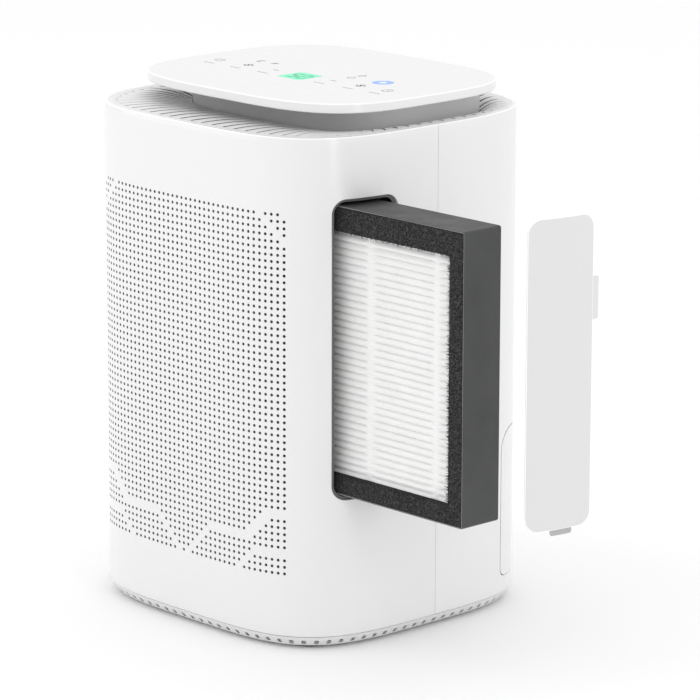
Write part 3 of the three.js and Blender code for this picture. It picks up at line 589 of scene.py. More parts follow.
def front_shell():
    """The perforated front, with the filter slot, its rebate and the pockets for its cover."""
    seam = BODY.s_at_y(FRONT_HIGH[1]) + SEAM_CLOSE
    slack, margin, side = 0.5, 10.0, 0.2
    tab_z = (TAB_Z[0] - slack, TAB_Z[1] + slack)
    hook_s = (HOOK_S[0] - slack, HOOK_S[1] + slack)
    pockets = (("s", 1, *tab_z, TAB_REACH - REBATE_GROW + slack),
               ("z", -1, *hook_s, HOOK_REACH - REBATE_GROW + slack))
    profile = [(REBATE_GROW + 0.25, 0.0, "s"), (REBATE_GROW, 0.25, "s"),
               (REBATE_GROW, HOOK_SKIN, "s"), (REBATE_GROW + 0.03, HOOK_SKIN + 0.03, "sz"),
               (REBATE_GROW, REBATE_DEPTH, "sz"), (0.25, REBATE_DEPTH, ""),
               (0.0, REBATE_DEPTH + 0.25, ""), (0.0, WALL, "")]
    # Strips 5 to 7, the rebate's ledge and the opening's inner wall, take painted shade.
    slot = Opening(*SLOT_S, *SLOT_Z, SLOT_RADIUS, SLOT_RADIUS, margin, profile, pockets, (5, 6, 7))
    s0, s1, z0, z1 = slot.patch
    half_columns = [COLUMN_PITCH * (k - COLUMNS) / 2 for k in range(2 * COLUMNS + 1)]
    half_rows = [HOLE_TOP - ROW_PITCH * (ROWS - 0.5 - k / 2) for k in range(2 * ROWS + 1)]
    turns = [SLOT_RADIUS * t for t in (-1, -0.7, -0.4, 0, 0.2, 0.4, 0.6, 0.8, 1)]
    corner_s = [SLOT_S[0] + turn for turn in turns] + [SLOT_S[1] - turn for turn in turns]
    corner_z = [SLOT_Z[1] + turn for turn in (-3.5, -2, 0, 1.5, 3.5)]
    s_lines = lines(-seam, *half_columns, s0, s1, *corner_s, *hook_s, hook_s[0] - side,
                    hook_s[1] + side, seam, step=3.2)
    z_lines = lines(SHELL_LOW + EDGE, *half_rows, z0, z1, *corner_z, *tab_z, tab_z[0] - side,
                    tab_z[1] + side, SHELL_TOP - EDGE, step=4.0)
    blocks = []
    for column in range(COLUMNS):
        s = COLUMN_PITCH * (column - COLUMNS // 2)
        across = [nearest(s_lines, s + half * COLUMN_PITCH) for half in (-0.5, 0.5)]
        for row in range(ROWS):
            z = HOLE_TOP - ROW_PITCH * row
            up = [nearest(z_lines, z + half * ROW_PITCH) for half in (-0.5, 0.5)]
            if has_hole(column, row):
                blocks.append((*across, *up))
    build = wall_mesh(BODY, s_lines, z_lines, [slot], (blocks, HOLE_RADIUS), edge=EDGE,
                      bright_edges=True)
    # Slot 1 is a painted highlight on the rims, slot 2 painted shade on the slot's ledge and inner
    # wall, slot 3 painted shade in the holes.
    piece = build.object("shell_front", [WHITE, EDGE_HIGHLIGHT, BAY_LIP_SHADE, HOLE_SHADE])
    finish_piece(piece, "housing", "gloss_white", "front_shell")


TANK_FRONT = 62.3
TANK_RADII = (6.0, 14.0)
TANK_GAP = 0.4
VENT_HALF, VENT_HEIGHT, VENT_RADIUS = 45, 3.4, 1.6
VENT_FIRST, VENT_PITCH, VENTS = SHELL_LOW + 140, 10, 7
JACK_RADIUS = 5.6


def rear_shell():
    """The rear half, with openings for the water tank, the vents and the power jack."""
    seam = BODY.s_at_y(REAR_LOW[1]) - SEAM_CLOSE
    soft = [(0.3, 0.0, ""), (0.0, 0.3, ""), (0.0, WALL, "")]
    tank_s = BODY.s_at_y(TANK_FRONT)
    tank = Opening(tank_s, BODY.length - tank_s, TANK_LOW[2] - TANK_GAP, TANK_HIGH[2] + TANK_GAP,
                   *TANK_RADII, 5.0, soft)
    middle = BODY.length / 2
    vents = [Opening(middle - VENT_HALF, middle + VENT_HALF, z, z + VENT_HEIGHT, VENT_RADIUS,
                     VENT_RADIUS, 1.8, soft) for z in VENT_FIRST + VENT_PITCH * np.arange(VENTS)]
    jack_x, _, jack_z = (JACK_LOW + JACK_HIGH) / 2
    jack_s = BODY.s_at_rear_x(jack_x)
    jack = Opening(jack_s - JACK_RADIUS, jack_s + JACK_RADIUS, jack_z - JACK_RADIUS,
                   jack_z + JACK_RADIUS, JACK_RADIUS - 0.001, JACK_RADIUS - 0.001, 2.4, soft)
    openings = [tank, jack, *vents]
    s_values, z_values = [seam, BODY.length - seam], [SHELL_LOW + EDGE, SHELL_TOP - EDGE]
    for opening in openings:
        s0, s1, z0, z1 = opening.patch
        s_values += [s0, s1]
        z_values += [z0, z1]
    s0, s1, z0, z1 = tank.rect
    for turn in (0, 1.5, 3, 4.5, 6, 8, 10, 12, 14):
        s_values += [s0 + turn, s1 - turn]
        z_values.append(z1 - turn)
        if turn <= TANK_RADII[0]:
            z_values.append(z0 + turn)
    for turn in (0, 1, 2, 3, 4, JACK_RADIUS):
        s_values += [jack_s + turn, jack_s - turn]
        z_values += [jack_z + turn, jack_z - turn]
    for vent in vents:
        s0, s1, z0, z1 = vent.rect
        s_values += [s0 - 0.9, s0, s0 + 0.8, s0 + 1.6, s1 + 0.9, s1, s1 - 0.8, s1 - 1.6]
        z_values += [z0 - 0.9, z0, z0 + 0.9, z0 + 1.7, z1 - 0.9, z1, z1 + 0.9]
    build = wall_mesh(BODY, lines(*s_values, step=4.0), lines(*z_values, step=5.0), openings,
                      edge=EDGE, bright_edges=True)
    # Slot 1 is a painted highlight on the rims.
    piece = build.object("shell_rear", [WHITE, EDGE_HIGHLIGHT])
    finish_piece(piece, "housing", "gloss_white", "rear_shell")


TRAY_SLOTS = 92
TRAY_WALL = 2.4


def base_band():
    """The tapered tray under the shells, with a row of vent slots all round and a floor plate."""
    height = TRAY_HIGH[2] - TRAY_LOW[2]

    def lean(z):
        return 0.8 + 4.2 * (1 - (z - TRAY_LOW[2]) / height) ** 1.4

    pitch = BODY.length / TRAY_SLOTS
    profile = [(0.15, 0.0, ""), (0.0, 0.15, ""), (0.0, TRAY_WALL, "")]
    openings, s_values = [], []
    for i in range(TRAY_SLOTS):
        s = (i + 0.5) * pitch
        openings.append(Opening(s - 1.6, s + 1.6, 1.2, 3.9, 1.1, 1.1, 0.7, profile))
        s_values += [s + side for side in (-2.3, -1.6, -0.5, 0.5, 1.6, 2.3)]
    z_lines = np.array([0.5, 1.2, 2.0, 3.1, 3.9, 4.6, height - 0.35])
    build = wall_mesh(BODY, np.array(s_values), z_lines, openings, lean=lean, edge=0.3,
                      wall=TRAY_WALL, closed=True)
    s = np.linspace(0, BODY.length, 320, endpoint=False)
    plate = ((6.2, 2.5), (5.8, 2.3), (5.8, 0.2), (6.2, 0.0))
    build.loft([build.plan_ring(BODY, s, depth, z) for depth, z in plate])
    finish_piece(build.object("base_band", [TRAY_GREY]), "housing", "inner_grey", "base_tray")


front_shell()
rear_shell()
base_band()


# ---------- outlet grille and neck
SLATS = 78
RIM_WIDTH = 4.4
BLADE_DROP, BLADE_DEPTH = 5.8, 2.6


def outlet_grille():
    """A rim inside the shells, and blades that run from it down to the neck over a curved fall."""
    build = Builder()
    outer, top = WALL + 0.05, SHELL_TOP - 0.12
    inner = outer + RIM_WIDTH
    s = np.linspace(0, BODY.length, 400, endpoint=False)
    section = ((outer, top - 0.6), (outer - 0.18, top - 0.1), (outer + 0.2, top),
               (inner - 0.3, top), (inner, top - 0.2), (inner, top - 4.5), (outer, top - 4.5))
    build.loft([build.plan_ring(BODY, s, depth, z) for depth, z in section], closed=True)
    neck_loop = NECK.at(np.linspace(0, NECK.length, 6000, endpoint=False), -0.4)
    fall = np.linspace(0, 1, 14)
    pitch = BODY.length / SLATS
    seats = BODY.at(pitch * (np.arange(SLATS) + 0.5), inner - 0.3)
    ends = np.array([neck_loop[np.hypot(*(neck_loop - seat).T).argmin()] for seat in seats])
    blade = ((1, -0.15), (0.85, 0), (-0.85, 0), (-1, -0.15), (-1, -BLADE_DEPTH), (1, -BLADE_DEPTH))
    dark_sides = [0, 0, 0, 1, 1, 1]
    for i, (start, end) in enumerate(zip(seats, ends)):
        along = (end - start) / np.hypot(*(end - start))
        side = np.array([-along[1], along[0]])
        room = np.hypot(*(ends[(i + 1) % SLATS] - ends[i - 1])) / 2
        half = np.interp(fall, [0, 1], [0.5 * pitch - 1.0, max(0.4 * room - 0.35, 0.5)])
        centre = start + (end - start) * fall[:, None]
        z = top - 0.03 - BLADE_DROP * fall ** 2.2
        build.loft([build.add([(*(c + side * h * across), level + rise) for across, rise in blade])
                    for c, h, level in zip(centre, half, z)])
        strips = len(fall) - 1
        build.slots[-len(blade) * strips - 2:-2] = dark_sides * strips
    piece = build.object("grille_blades", [GRILLE_WHITE, SHADED_GREY], 40)
    finish_piece(piece, "housing", "grille_white", "outlet_grille")


def plan_loft(name, outline, section, materials, bright_edges=()):
    """A piece made of an outline's rings at (depth, z), capped at both ends."""
    build = Builder()
    s = np.linspace(0, outline.length, 360, endpoint=False)
    build.loft([build.plan_ring(outline, s, depth, z) for depth, z in section], bright_edges=bright_edges)
    return build.object(name, materials)


def neck():
    low, top = NECK_LOW[2], NECK_HIGH[2]
    section = ((2.4, low + 2.4), (2.4, low + 0.3), (0.3, low), (0.0, low + 0.4), (0.0, top - 0.4),
               (0.4, top), (2.0, top), (2.4, top - 0.4), (2.4, low + 2.6))
    piece = plan_loft("neck_skirt", NECK, section, [NECK_GREY])
    finish_piece(piece, "housing", "neck_grey", "neck_collar")


outlet_grille()
neck()


# ---------- control panel
PANEL_TOP = LID_HIGH[2] - 0.06
PANEL_SKIN = 1.6
PRINT_LOW, PRINT_TOP = PANEL_TOP - 0.2, PANEL_TOP + 0.03
WINDOW_MIDDLE, WINDOW_HALF = (WINDOW_LOW + WINDOW_HIGH) / 2, (WINDOW_HIGH[0] - WINDOW_LOW[0]) / 2
LOCK_MIDDLE, LOCK_HALF = (LOCK_LOW + LOCK_HIGH) / 2, (LOCK_HIGH[0] - LOCK_LOW[0]) / 2


def cut_from(piece, cutters):
    """Cuts other pieces out of this one for good, and removes them."""
    for cutter in cutters:
        modifier = piece.modifiers.new("cut", "BOOLEAN")
        modifier.operation, modifier.solver, modifier.object = "DIFFERENCE", "EXACT", cutter
    graph = bpy.context.evaluated_depsgraph_get()
    mesh = bpy.data.meshes.new_from_object(piece.evaluated_get(graph))
    piece.modifiers.clear()
    piece.data = mesh
    for cutter in cutters:
        bpy.data.objects.remove(cutter)
    mesh.set_sharp_from_angle(angle=math.radians(30))


def round_square(name, material, middle, half, radius, levels, steps=8):
    """A rounded square column or tile, as rings at (z, grow)."""
    build = Builder()
    rings = []
    for z, grow in levels:
        points = []
        for quarter in range(4):
            x = middle[0] + (half - radius) * (1, -1, -1, 1)[quarter]
            y = middle[1] + (half - radius) * (1, 1, -1, -1)[quarter]
            points += [(*place, z) for place in
                       arc(x, y, radius + grow, 90 * quarter, 90 * (quarter + 1), steps)]
        rings.append(build.add(points))
    build.loft(rings)
    return build.object(name, [material])


def arc(x, y, radius, start, end, steps=16):
    """Points along an arc, with its angles in degrees."""
    angles = np.radians(np.linspace(start, end, steps + 1))
    return [(x + radius * math.cos(a), y + radius * math.sin(a)) for a in angles]


def lid():
    """The floating panel, open where the display and the lock light show."""
    low, top, under = LID_LOW[2], PANEL_TOP, PANEL_TOP - PANEL_SKIN
    section = ((3.0, under), (3.0, low + 0.3), (2.7, low), (0.9, low), (0.35, low + 0.2),
               (0.0, low + 0.8), (0.0, top - 0.8), (0.12, top - 0.35), (0.4, top - 0.08),
               (0.85, top))
    # Strips 6 to 8, the rounded top edge, take a painted highlight.
    piece = plan_loft("panel_top", LID, section, [WHITE, EDGE_HIGHLIGHT], (6, 7, 8))
    through = ((LID_LOW[2], 0), (LID_HIGH[2] + 2, 0))
    window = round_square("window_cut", WHITE, WINDOW_MIDDLE, WINDOW_HALF + 0.12, 3.1, through)
    light = round_square("light_cut", WHITE, LOCK_MIDDLE, LOCK_HALF + 0.1, LOCK_HALF + 0.09,
                         through, 12)
    cut_from(piece, [window, light])
    weigh_normals(piece)
    finish_piece(piece, "housing", "gloss_white", "lid_panel")


def window_and_light():
    """The lit display tile and the round lock light, each with a chamfered top edge."""
    low, top = WINDOW_LOW[2], PANEL_TOP - 0.02
    tile = round_square("display_tile", GREEN_GLOW, WINDOW_MIDDLE, WINDOW_HALF, 3.0,
                        ((low, 0), (top - 0.2, 0), (top, -0.2)))
    finish_piece(tile, "housing", "display_green", "display_window")
    lens = round_square("lock_lens", BLUE_GLOW, LOCK_MIDDLE, LOCK_HALF, LOCK_HALF - 0.01,
                        ((low, 0), (top - 0.3, 0), (top, -0.3)), 12)
    finish_piece(lens, "housing", "indicator_blue", "lock_light")


def stroke(build, points, width=0.55, closed=False):
    """A printed line: a thin slab along flat points, just proud of the panel."""
    points = np.array(points, float)
    if closed:
        before, after = np.roll(points, 1, 0), np.roll(points, -1, 0)
    else:
        before = np.vstack([2 * points[0] - points[1], points[:-1]])
        after = np.vstack([points[1:], 2 * points[-1] - points[-2]])
    along = after - before
    along /= np.hypot(*along.T)[:, None]
    side = np.stack([-along[:, 1], along[:, 0]], -1) * width / 2
    rings = []
    for left, right in zip(points + side, points - side):
        rings.append(build.add([(*left, PRINT_LOW), (*right, PRINT_LOW), (*right, PRINT_TOP),
                                (*left, PRINT_TOP)]))
    build.loft(rings, closed)


def circle(build, x, y, radius, width=0.55):
    stroke(build, arc(x, y, radius, 0, 360, 24)[:-1], width, closed=True)


def power_icon(build, x, y):
    stroke(build, arc(x, y, 3.2, 125, 415, 20))
    stroke(build, [(x, y + 0.6), (x, y + 3.8)])


def fan_icon(build, x, y):
    for turn in (0, 90, 180, 270):
        [middle] = arc(x, y, 1.7, turn, turn, 0)
        stroke(build, arc(*middle, 1.5, turn - 30, turn + 190, 10), 0.8)
    circle(build, x, y, 0.5, 0.7)


def moon_icon(build, x, y):
    stroke(build, arc(x, y, 2.6, 60, 300, 14) + arc(x + 1.6, y, 2.1, 270, 90, 10)[1:-1], closed=True)


def snow_icon(build, x, y):
    for turn in (0, 60, 120):
        stroke(build, arc(x, y, 3, turn + 180, turn, 1), 0.5)


def drop_icon(build, x, y):
    stroke(build, [(x, y + 3), *arc(x, y - 0.8, 2.1, 150, 390, 12)], closed=True)


def clock_icon(build, x, y):
    circle(build, x, y, 3.3)
    stroke(build, [(x, y + 2.0), (x, y), (x + 1.5, y - 0.8)], 0.5)


def dash_icon(build, x, y):
    stroke(build, [(x - 2.4, y), (x + 2.4, y)], 0.8)


def label(build, x, y):
    """A row of short bars in place of a word."""
    for start, length in ((-4.6, 2.0), (-2.1, 1.1), (-0.5, 2.4), (2.4, 1.7)):
        stroke(build, [(x + start, y), (x + start + length, y)], 0.85)


ICONS = {
    power_icon: [(-77, -4)], fan_icon: [(-51, -4), (49, -4)], dash_icon: [(-26, -4), (25, -4)],
    clock_icon: [(72, -4)], moon_icon: [(-56, 11)], snow_icon: [(-44, 11.6)],
    drop_icon: [(25, 11.4), (25, 20.5)],
    label: [(x, -15.5) for x in (-74, -50, -25, 25, 50, 73)],
}
DIGIT_ROUND = [(-1, 2), (1, 2), (1, 0), (1, -2), (-1, -2), (-1, 0), (-1, 2)]
SEGMENTS = {**dict(zip("abcdef", zip(DIGIT_ROUND, DIGIT_ROUND[1:]))), "g": [(-1, 0), (1, 0)]}
DIGIT_OFFSET, DIGIT_UNIT, DIGIT_STROKE = 4.0, (2.5, 2.7), 1.3


def panel_print():
    """Printed marks, two lit digits, and the mark on the lock light."""
    icons, digits, mark = Builder(), Builder(), Builder()
    for draw, places in ICONS.items():
        for x, y in places:
            draw(icons, x, y)
    finish_piece(icons.object("panel_icons", [INK]), "housing", "neck_grey")
    for side, lit in ((-1, "acdfg"), (1, "abcdef")):
        middle = WINDOW_MIDDLE[:2] + (side * DIGIT_OFFSET, 0)
        for name in lit:
            ends = np.array(SEGMENTS[name]) * DIGIT_UNIT
            ends += (ends[::-1] - ends) * 0.08
            stroke(digits, ends + middle, DIGIT_STROKE)
    finish_piece(digits.object("display_digits", [GREEN_INK]), "housing", "display_green")
    circle(mark, *LOCK_MIDDLE[:2], 1.45, 2.0)
    finish_piece(mark.object("lock_mark", [WHITE_INK]), "housing", "gloss_white")


lid()
window_and_light()
panel_print()


# ---------- slot cover
# In the photo's pose the cover stands this far from its seat
COVER_SHIFT = -sum(JOINTS[name]["range_m"][0] / MM * np.array(JOINTS[name]["axis"])
                   for name in ("cover_slide", "filter_slide"))
COVER_GROW = 1.4


class Patch:
    """A rounded rectangle in (s, z) on the body, filled as a grid whose corners are arcs."""

    def __init__(self, s0, s1, z0, z1, radius, n_s=24, n_z=72, n_corner=6):
        self.rect, self.radius = (s0, s1, z0, z1), radius
        edge = np.linspace(0, radius, n_corner + 1)
        self.u = np.concatenate([s0 + edge, np.linspace(s0 + radius, s1 - radius, n_s)[1:-1],
                                 s1 - edge[::-1]])
        self.v = np.concatenate([z0 + edge, np.linspace(z0 + radius, z1 - radius, n_z)[1:-1],
                                 z1 - edge[::-1]])

    def bend(self, grow):
        """Grid of (s, z) with the outline grown by grow."""
        s0, s1, z0, z1 = self.rect
        r = self.radius
        s, z = np.meshgrid(self.u, self.v)
        cs, cz = np.clip(s, s0 + r, s1 - r), np.clip(z, z0 + r, z1 - r)
        a, b = (s - cs) / r, (z - cz) / r
        reach = r + grow
        return cs + reach * a * np.sqrt(1 - b * b / 2), cz + reach * b * np.sqrt(1 - a * a / 2)

    def place(self, s, z, depth):
        return np.concatenate([BODY.at(s, depth), z[..., None]], -1) + COVER_SHIFT

    def border(self, grid):
        return np.concatenate([grid[0, :-1], grid[:-1, -1], grid[-1, :0:-1], grid[:0:-1, 0]])

    def ring(self, build, grow, depth):
        """A ring round the grid's border."""
        s, z = self.bend(grow)
        return build.add(self.place(self.border(s), self.border(z), depth))

    def slab(self, build, near, far, edge=0.4, slot=0, edge_slot=0):
        """A closed plate between two depths with rounded edges."""
        skins = []
        for grow, depth in ((-edge, near), (-0.5 * edge, far)):
            s, z = self.bend(grow)
            skins.append(build.add(self.place(s, z, depth)).reshape(s.shape))
            build.sheet(skins[-1], slot)
        turns = ((-0.3 * edge, near + 0.15 * edge), (0.0, near + 0.6 * edge),
                 (0.0, far - 0.5 * edge))
        rings = [self.border(skins[0]), *(self.ring(build, *turn) for turn in turns),
                 self.border(skins[1])]
        for near_ring, far_ring in zip(rings, rings[1:]):
            build.strip(far_ring, near_ring, edge_slot)


def slot_cover():
    """The curved cover, with a tab behind, a hook below and a rib round its inner face."""
    build = Builder()
    panel = Patch(SLOT_S[0] - COVER_GROW, SLOT_S[1] + COVER_GROW, SLOT_Z[0] - COVER_GROW,
                  SLOT_Z[1] + COVER_GROW, SLOT_RADIUS + COVER_GROW)
    # The panel's rounded edge takes slot 1, a painted highlight.
    panel.slab(build, 0.0, 1.5, edge_slot=1)
    tab = Patch(SLOT_S[1] - 1.5, SLOT_S[1] + TAB_REACH - 0.3, *TAB_Z, 1.6, 6, 10)
    tab.slab(build, 0.45, 1.4, 0.3)
    hook = Patch(*HOOK_S, SLOT_Z[0] - HOOK_REACH, SLOT_Z[0] + 1.5, 1.6, 8, 6)
    # The hook takes slot 2, painted shade.
    hook.slab(build, HOOK_SKIN + 0.12, REBATE_DEPTH - 0.08, 0.2, 2, 2)
    rib = []
    for inset, depth in ((0.9, 1.4), (0.9, 3.7), (1.2, 4.0), (2.6, 4.0), (2.9, 3.7), (2.9, 1.4)):
        line = Patch(SLOT_S[0] + inset, SLOT_S[1] - inset, SLOT_Z[0] + inset,
                     SLOT_Z[1] - inset - 0.6, SLOT_RADIUS - inset)
        rib.append(line.ring(build, 0, depth))
    build.loft(rib, closed=True)
    # Slot 0 is the cover's darker white, painted shade on the shells' plastic.
    piece = build.object("slot_cover", [COVER_SHADED_WHITE, EDGE_HIGHLIGHT, HOOK_SHADE], 32)
    finish_piece(piece, "cover", "gloss_white", "filter_cover")


slot_cover()


# ---------- filter cassette
OUTWARD = np.array((-1, 1, -1, 1))  # grows a face box (x0, x1, z0, z1) by one on each side


def face_box(low, high):
    return np.array((low[0], high[0], low[2], high[2]))


FRAME_FACE, MEDIA_FACE = face_box(FILTER_LOW, FILTER_HIGH), face_box(MEDIA_LOW, MEDIA_HIGH)


def rect_ring(build, box, y, radius, per_side=6, per_corner=4):
    """A ring round a face box with rounded corners, in the plane y."""
    x0, x1, z0, z1 = box - radius * OUTWARD
    centres = ((x1, z0), (x1, z1), (x0, z1), (x0, z0))
    points = []
    for corner, (x, z) in enumerate(centres):
        start, end = 90 * corner - 90, 90 * corner
        points += arc(x, z, radius, start, end, per_corner)
        [goal] = arc(*centres[(corner + 1) % 4], radius, end, end, 0)
        side = np.linspace(points[-1], goal, per_side + 1)
        points += [tuple(place) for place in side[1:-1]]
    return build.add([(x, y, z) for x, z in points])


def cassette_frame():
    """The charcoal frame, with lighter lips round both faces."""
    build = Builder()
    front, back = FILTER_LOW[1], FILTER_HIGH[1]
    lip, floor_depth = 0.8, 2.4
    steps = [(0.0, 0.5), (0.25, 0.1), (lip - 0.25, 0.0), (lip, 0.3), (lip, floor_depth)]

    def lip_ring(inset, y):
        return rect_ring(build, FRAME_FACE - inset * OUTWARD, y, max(0.3, 1.6 - inset))

    rings = [lip_ring(inset, front + depth) for inset, depth in steps]
    rings += [rect_ring(build, MEDIA_FACE + 0.3 * OUTWARD, y, 0.3)
              for y in (front + floor_depth, back - floor_depth)]
    rings += [lip_ring(inset, back - depth) for inset, depth in steps[::-1]]
    build.loft(rings, True, (1, 2, len(rings) - 4, len(rings) - 3))
    piece = build.object("cassette_frame", [CHARCOAL, LIGHT_LIP])
    weigh_normals(piece)
    finish_piece(piece, "filter", "frame_charcoal", "filter_frame")


def foam_ring(name, node, outward):
    """A foam seal: a lumpy ring with a ragged inner edge and loose fibres."""
    build = Builder()
    low, high = box_mm(node)
    face_y, back = (low[1], high[1]) if outward < 0 else (high[1], low[1])
    outer = face_box(low, high)

    def foam_loop(share, y):
        return rect_ring(build, outer * (1 - share) + MEDIA_FACE * share, y, 0.5, 90, 1)

    rings = [foam_loop(0.0, back)]
    for share in np.linspace(0, 1, 15):
        crown = 0.25 * math.sin(math.pi * share) ** 0.5
        rings.append(foam_loop(share, face_y + outward * (crown - 0.3)))
    rings.append(foam_loop(1.0, back))
    build.loft(rings, closed=True)
    x0, x1, z0, z1 = MEDIA_FACE + 0.6 * OUTWARD
    for points in build.blocks:
        for p in points:
            if abs(p[1] - back) > 0.01:
                lump = noise.noise(Vector(p) * 0.9) * 0.28 + noise.noise(Vector(p) * 2.6) * 0.2
                pull = noise.noise(Vector(p) * 1.7 + Vector((9, 4, 2))) * 0.5
                shift = pull * (1.2 if x0 < p[0] < x1 and z0 < p[2] < z1 else 0.15)
                p += (shift * 0.6, outward * (lump - 0.05), shift * 0.6)
    add_fibres(build, face_y, outward)
    piece = build.object(name, [FOAM], 60)
    finish_piece(piece, "filter", "foam_black", node)


FIBRES = 5200
FIBRE_REACH, FIBRE_REACH_LEFT = 1.8, 3.8


def add_fibres(build, face_y, outward):
    """Short loose fibres round the foam's inner edge, each a thin three-sided spike."""
    x0, x1, z0, z1 = MEDIA_FACE
    width, height = x1 - x0, z1 - z0
    corners = np.array([(x0, z0), (x1, z0), (x1, z1), (x0, z1)])
    inward = np.array([(0, 1), (-1, 0), (0, -1), (1, 0)])
    starts = np.cumsum([0, width, height, width])
    for _ in range(FIBRES):
        t = RNG.uniform(0, 2 * (width + height))
        side = np.searchsorted(starts, t, "right") - 1
        into = inward[side]
        across = np.array([-into[1], into[0]])
        base = corners[side] - across * (t - starts[side]) - into * RNG.uniform(0.2, 0.6)
        longest = FIBRE_REACH_LEFT if into[0] else FIBRE_REACH
        tip = base + into * (0.6 + longest * RNG.uniform() ** 3) + across * RNG.uniform(-1.5, 1.5)
        y = face_y - outward * RNG.uniform(0.2, 0.9)
        half = across * RNG.uniform(0.1, 0.24)
        a, b, c, d = build.add([(base[0] - half[0], y, base[1] - half[1]),
                                (base[0] + half[0], y, base[1] + half[1]),
                                (base[0], y - outward * 0.18, base[1]),
                                (tip[0], y + outward * RNG.uniform(-0.3, 0.25), tip[1])])
        for face in ((a, b, c), (a, d, b), (b, d, c), (c, d, a)):
            build.face(face)


PLEATS, ROWS_PER_PLEAT = 34, 16
BEADS = [MEDIA_HIGH[0] - d for d in (14.0, 69.5, 125.0)]


def pleats():
    """A pleated sheet with rounded folds, slightly wavy, held apart by three glue beads."""
    build = Builder()
    (x0, y0, z0), (x1, y1, z1) = MEDIA_LOW, MEDIA_HIGH
    rows = PLEATS * ROWS_PER_PLEAT + 1
    phase = np.arange(rows) / ROWS_PER_PLEAT
    fold = np.abs(2 * (phase - np.floor(phase + 0.5)))
    z = z0 + 0.4 + phase * (z1 - z0 - 0.8) / PLEATS
    crease, slope = 1.8 * fold ** 3, 0.8 * (phase - np.floor(phase))
    height = (z - z0) / (z1 - z0)
    rings = []
    for x in np.linspace(x0, x1, 86):
        pinch = max(min(1.0, 1.3 * math.exp(-((x - bead) / 3.0) ** 4)) for bead in BEADS)
        wave = 0.3 * math.sin(x * 0.045 + 1) + 0.12 * math.sin(x * 0.19)
        local = z + wave * np.sin(math.pi * height) * (1 - fold)
        depth = (1 - 0.96 * pinch) * (crease + slope) + 0.25 * pinch
        front = np.stack([np.full(rows, x), y0 + 0.6 + depth, local], -1)
        back = np.stack([np.full(rows, x), y1 - 1.0 - crease, local], -1)
        rings.append(build.add(np.concatenate([front, back[::-1]])))
    build.loft(rings)
    finish_piece(build.object("pleat_pack", [PAPER], 60), "filter", "media_white", "filter_media")


cassette_frame()
foam_ring("foam_front", "filter_seal_front", -1)
foam_ring("foam_rear", "filter_seal_rear", 1)
pleats()


# ---------- carried-over CAD nodes
def numbered(name, count):
    return [f"{name}_{i + 1}" for i in range(count)]


CAD_LOOKS = {
    RUBBER: ["foot_front_left", "foot_front_right", "foot_rear_left", "foot_rear_right", "tank_float"],
    STEEL: [*numbered("base_screw", 4), *numbered("motor_screw", 3), "motor_body", "motor_shaft",
            "hub_nut", "float_pin"],
    INNER_GREY: ["tank_cradle", "chassis_plate", "filter_bay", "drip_collector", "fan_deck",
                 "motor_bracket", "fan_tube", *numbered("neck_post", 4)],
    NECK_GREY: ["impeller", "lid_base"],
    BLACK: ["cover_switch", "tank_switch", "power_jack"],
    ALUMINIUM: ["cold_sink", "hot_sink"],
    CERAMIC: ["peltier_module"],
    BOARD: ["main_board", "touch_board"],
    GREEN_GLOW: ["display_module"],
    WHITE: ["water_tank"],
    CLEAR: ["tank_lid"],
    NET: ["prefilter_mesh"],
}


def round_shading():
    """A modifier group that shades gentle turns smooth and keeps corners sharp."""
    group = bpy.data.node_groups.new("round_shading", "GeometryNodeTree")
    for way in ("INPUT", "OUTPUT"):
        group.interface.new_socket("Geometry", in_out=way, socket_type="NodeSocketGeometry")
    new = group.nodes.new
    turn = new("GeometryNodeInputMeshEdgeAngle").outputs["Unsigned Angle"]
    gentle = new("FunctionNodeCompare")
    gentle.operation = "LESS_EQUAL"
    feed(gentle, {"A": turn, "B": math.radians(28)})
    source = new("NodeGroupInput").outputs["Geometry"]
    faces = feed(new("GeometryNodeSetShadeSmooth"), {"Geometry": source})
    edges = new("GeometryNodeSetShadeSmooth")
    edges.domain = "EDGE"
    feed(edges, {"Geometry": faces.outputs["Geometry"], "Shade Smooth": gentle.outputs["Result"]})
    feed(new("NodeGroupOutput"), {"Geometry": edges.outputs["Geometry"]})
    return group


def dress_cad_nodes():
    group = round_shading()
    for look, nodes in CAD_LOOKS.items():
        for node in nodes:
            cad = frame["nodes"][node]
            cad.data.materials.clear()
            cad.data.materials.append(look)
            cad.modifiers.new("round_shading", "NODES").node_group = group


dress_cad_nodes()


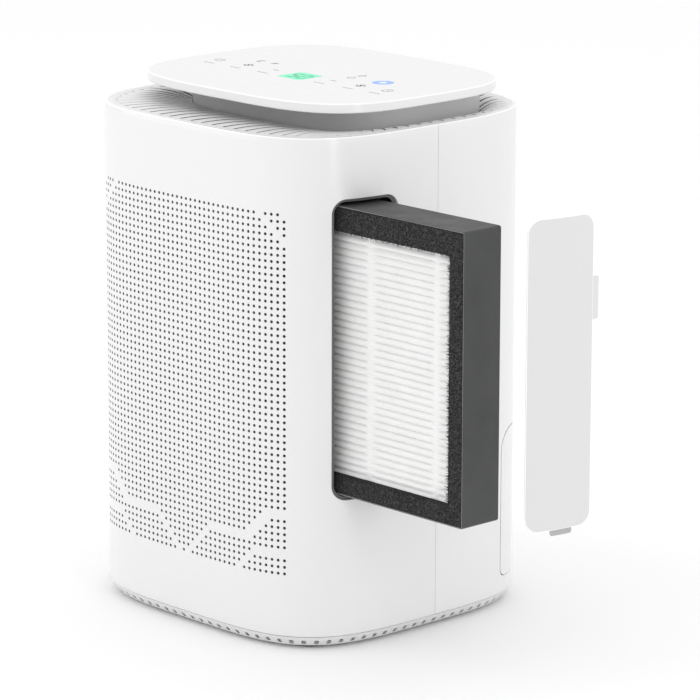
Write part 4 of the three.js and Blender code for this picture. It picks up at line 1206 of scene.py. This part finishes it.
# ---------- floor, light and camera
FLOOR_HALF = 30.0
AIM_HEIGHT = 0.16


def floor():
    mesh = bpy.data.meshes.new("floor")
    z = cad_box[0][2] - 0.0001
    corners = ((-1, -1), (1, -1), (1, 1), (-1, 1))
    mesh.from_pydata([(FLOOR_HALF * x, FLOOR_HALF * y, z) for x, y in corners], [], [(0, 1, 2, 3)])
    mesh.materials.append(shader("floor_white", (0.97, 0.97, 0.97), 0.9)[0])
    put("floor", mesh)


def stand(name, data, azimuth, elevation, distance, height):
    """Stands a light or camera off a point at the given height, looking at it. In degrees."""
    thing = put(name, data)
    a, e = math.radians(azimuth), math.radians(elevation)
    back = Vector((math.sin(a) * math.cos(e), -math.cos(a) * math.cos(e), math.sin(e)))
    thing.location = Vector((0, 0, height)) + back * distance
    thing.rotation_mode = "QUATERNION"
    thing.rotation_quaternion = (-back).to_track_quat("-Z", "Y")
    return thing


def softbox(name, azimuth, elevation, distance, size, power):
    """A rectangular area light that looks at the middle of the body."""
    light = bpy.data.lights.new(name, "AREA")
    light.shape, light.size, light.size_y, light.energy = "RECTANGLE", *size, power
    stand(name, light, azimuth, elevation, distance, AIM_HEIGHT)


def camera():
    """The photo's camera, fitted to its hole grid and outline."""
    data = bpy.data.cameras.new("camera")
    data.sensor_width, data.lens = 36.0, 215.54
    data.shift_x, data.shift_y = 0.05736, -0.04017
    data.clip_end = 50
    eye = stand("camera", data, 47.318, 13.125, 2.5642, SHELL_LOW * MM + 0.16269)
    bpy.context.scene.camera = eye


def world():
    sky = bpy.data.worlds.new("studio")
    sky.use_nodes = True
    feed(sky.node_tree.nodes["Background"], {"Color": (1, 1, 1, 1), "Strength": 1.0})
    bpy.context.scene.world = sky


floor()
world()
camera()
softbox("key_left", -42, 20, 2.0, (1.6, 1.6), 6.0)
softbox("strip_right", 77, 10, 1.6, (0.22, 1.8), 2.2)
softbox("fill_rear", 128, 15, 2.0, (1.0, 1.6), 1.5)
softbox("top", 40, 85, 1.8, (1.6, 1.6), 1.5)
bpy.context.scene.view_settings.view_transform = "Standard"
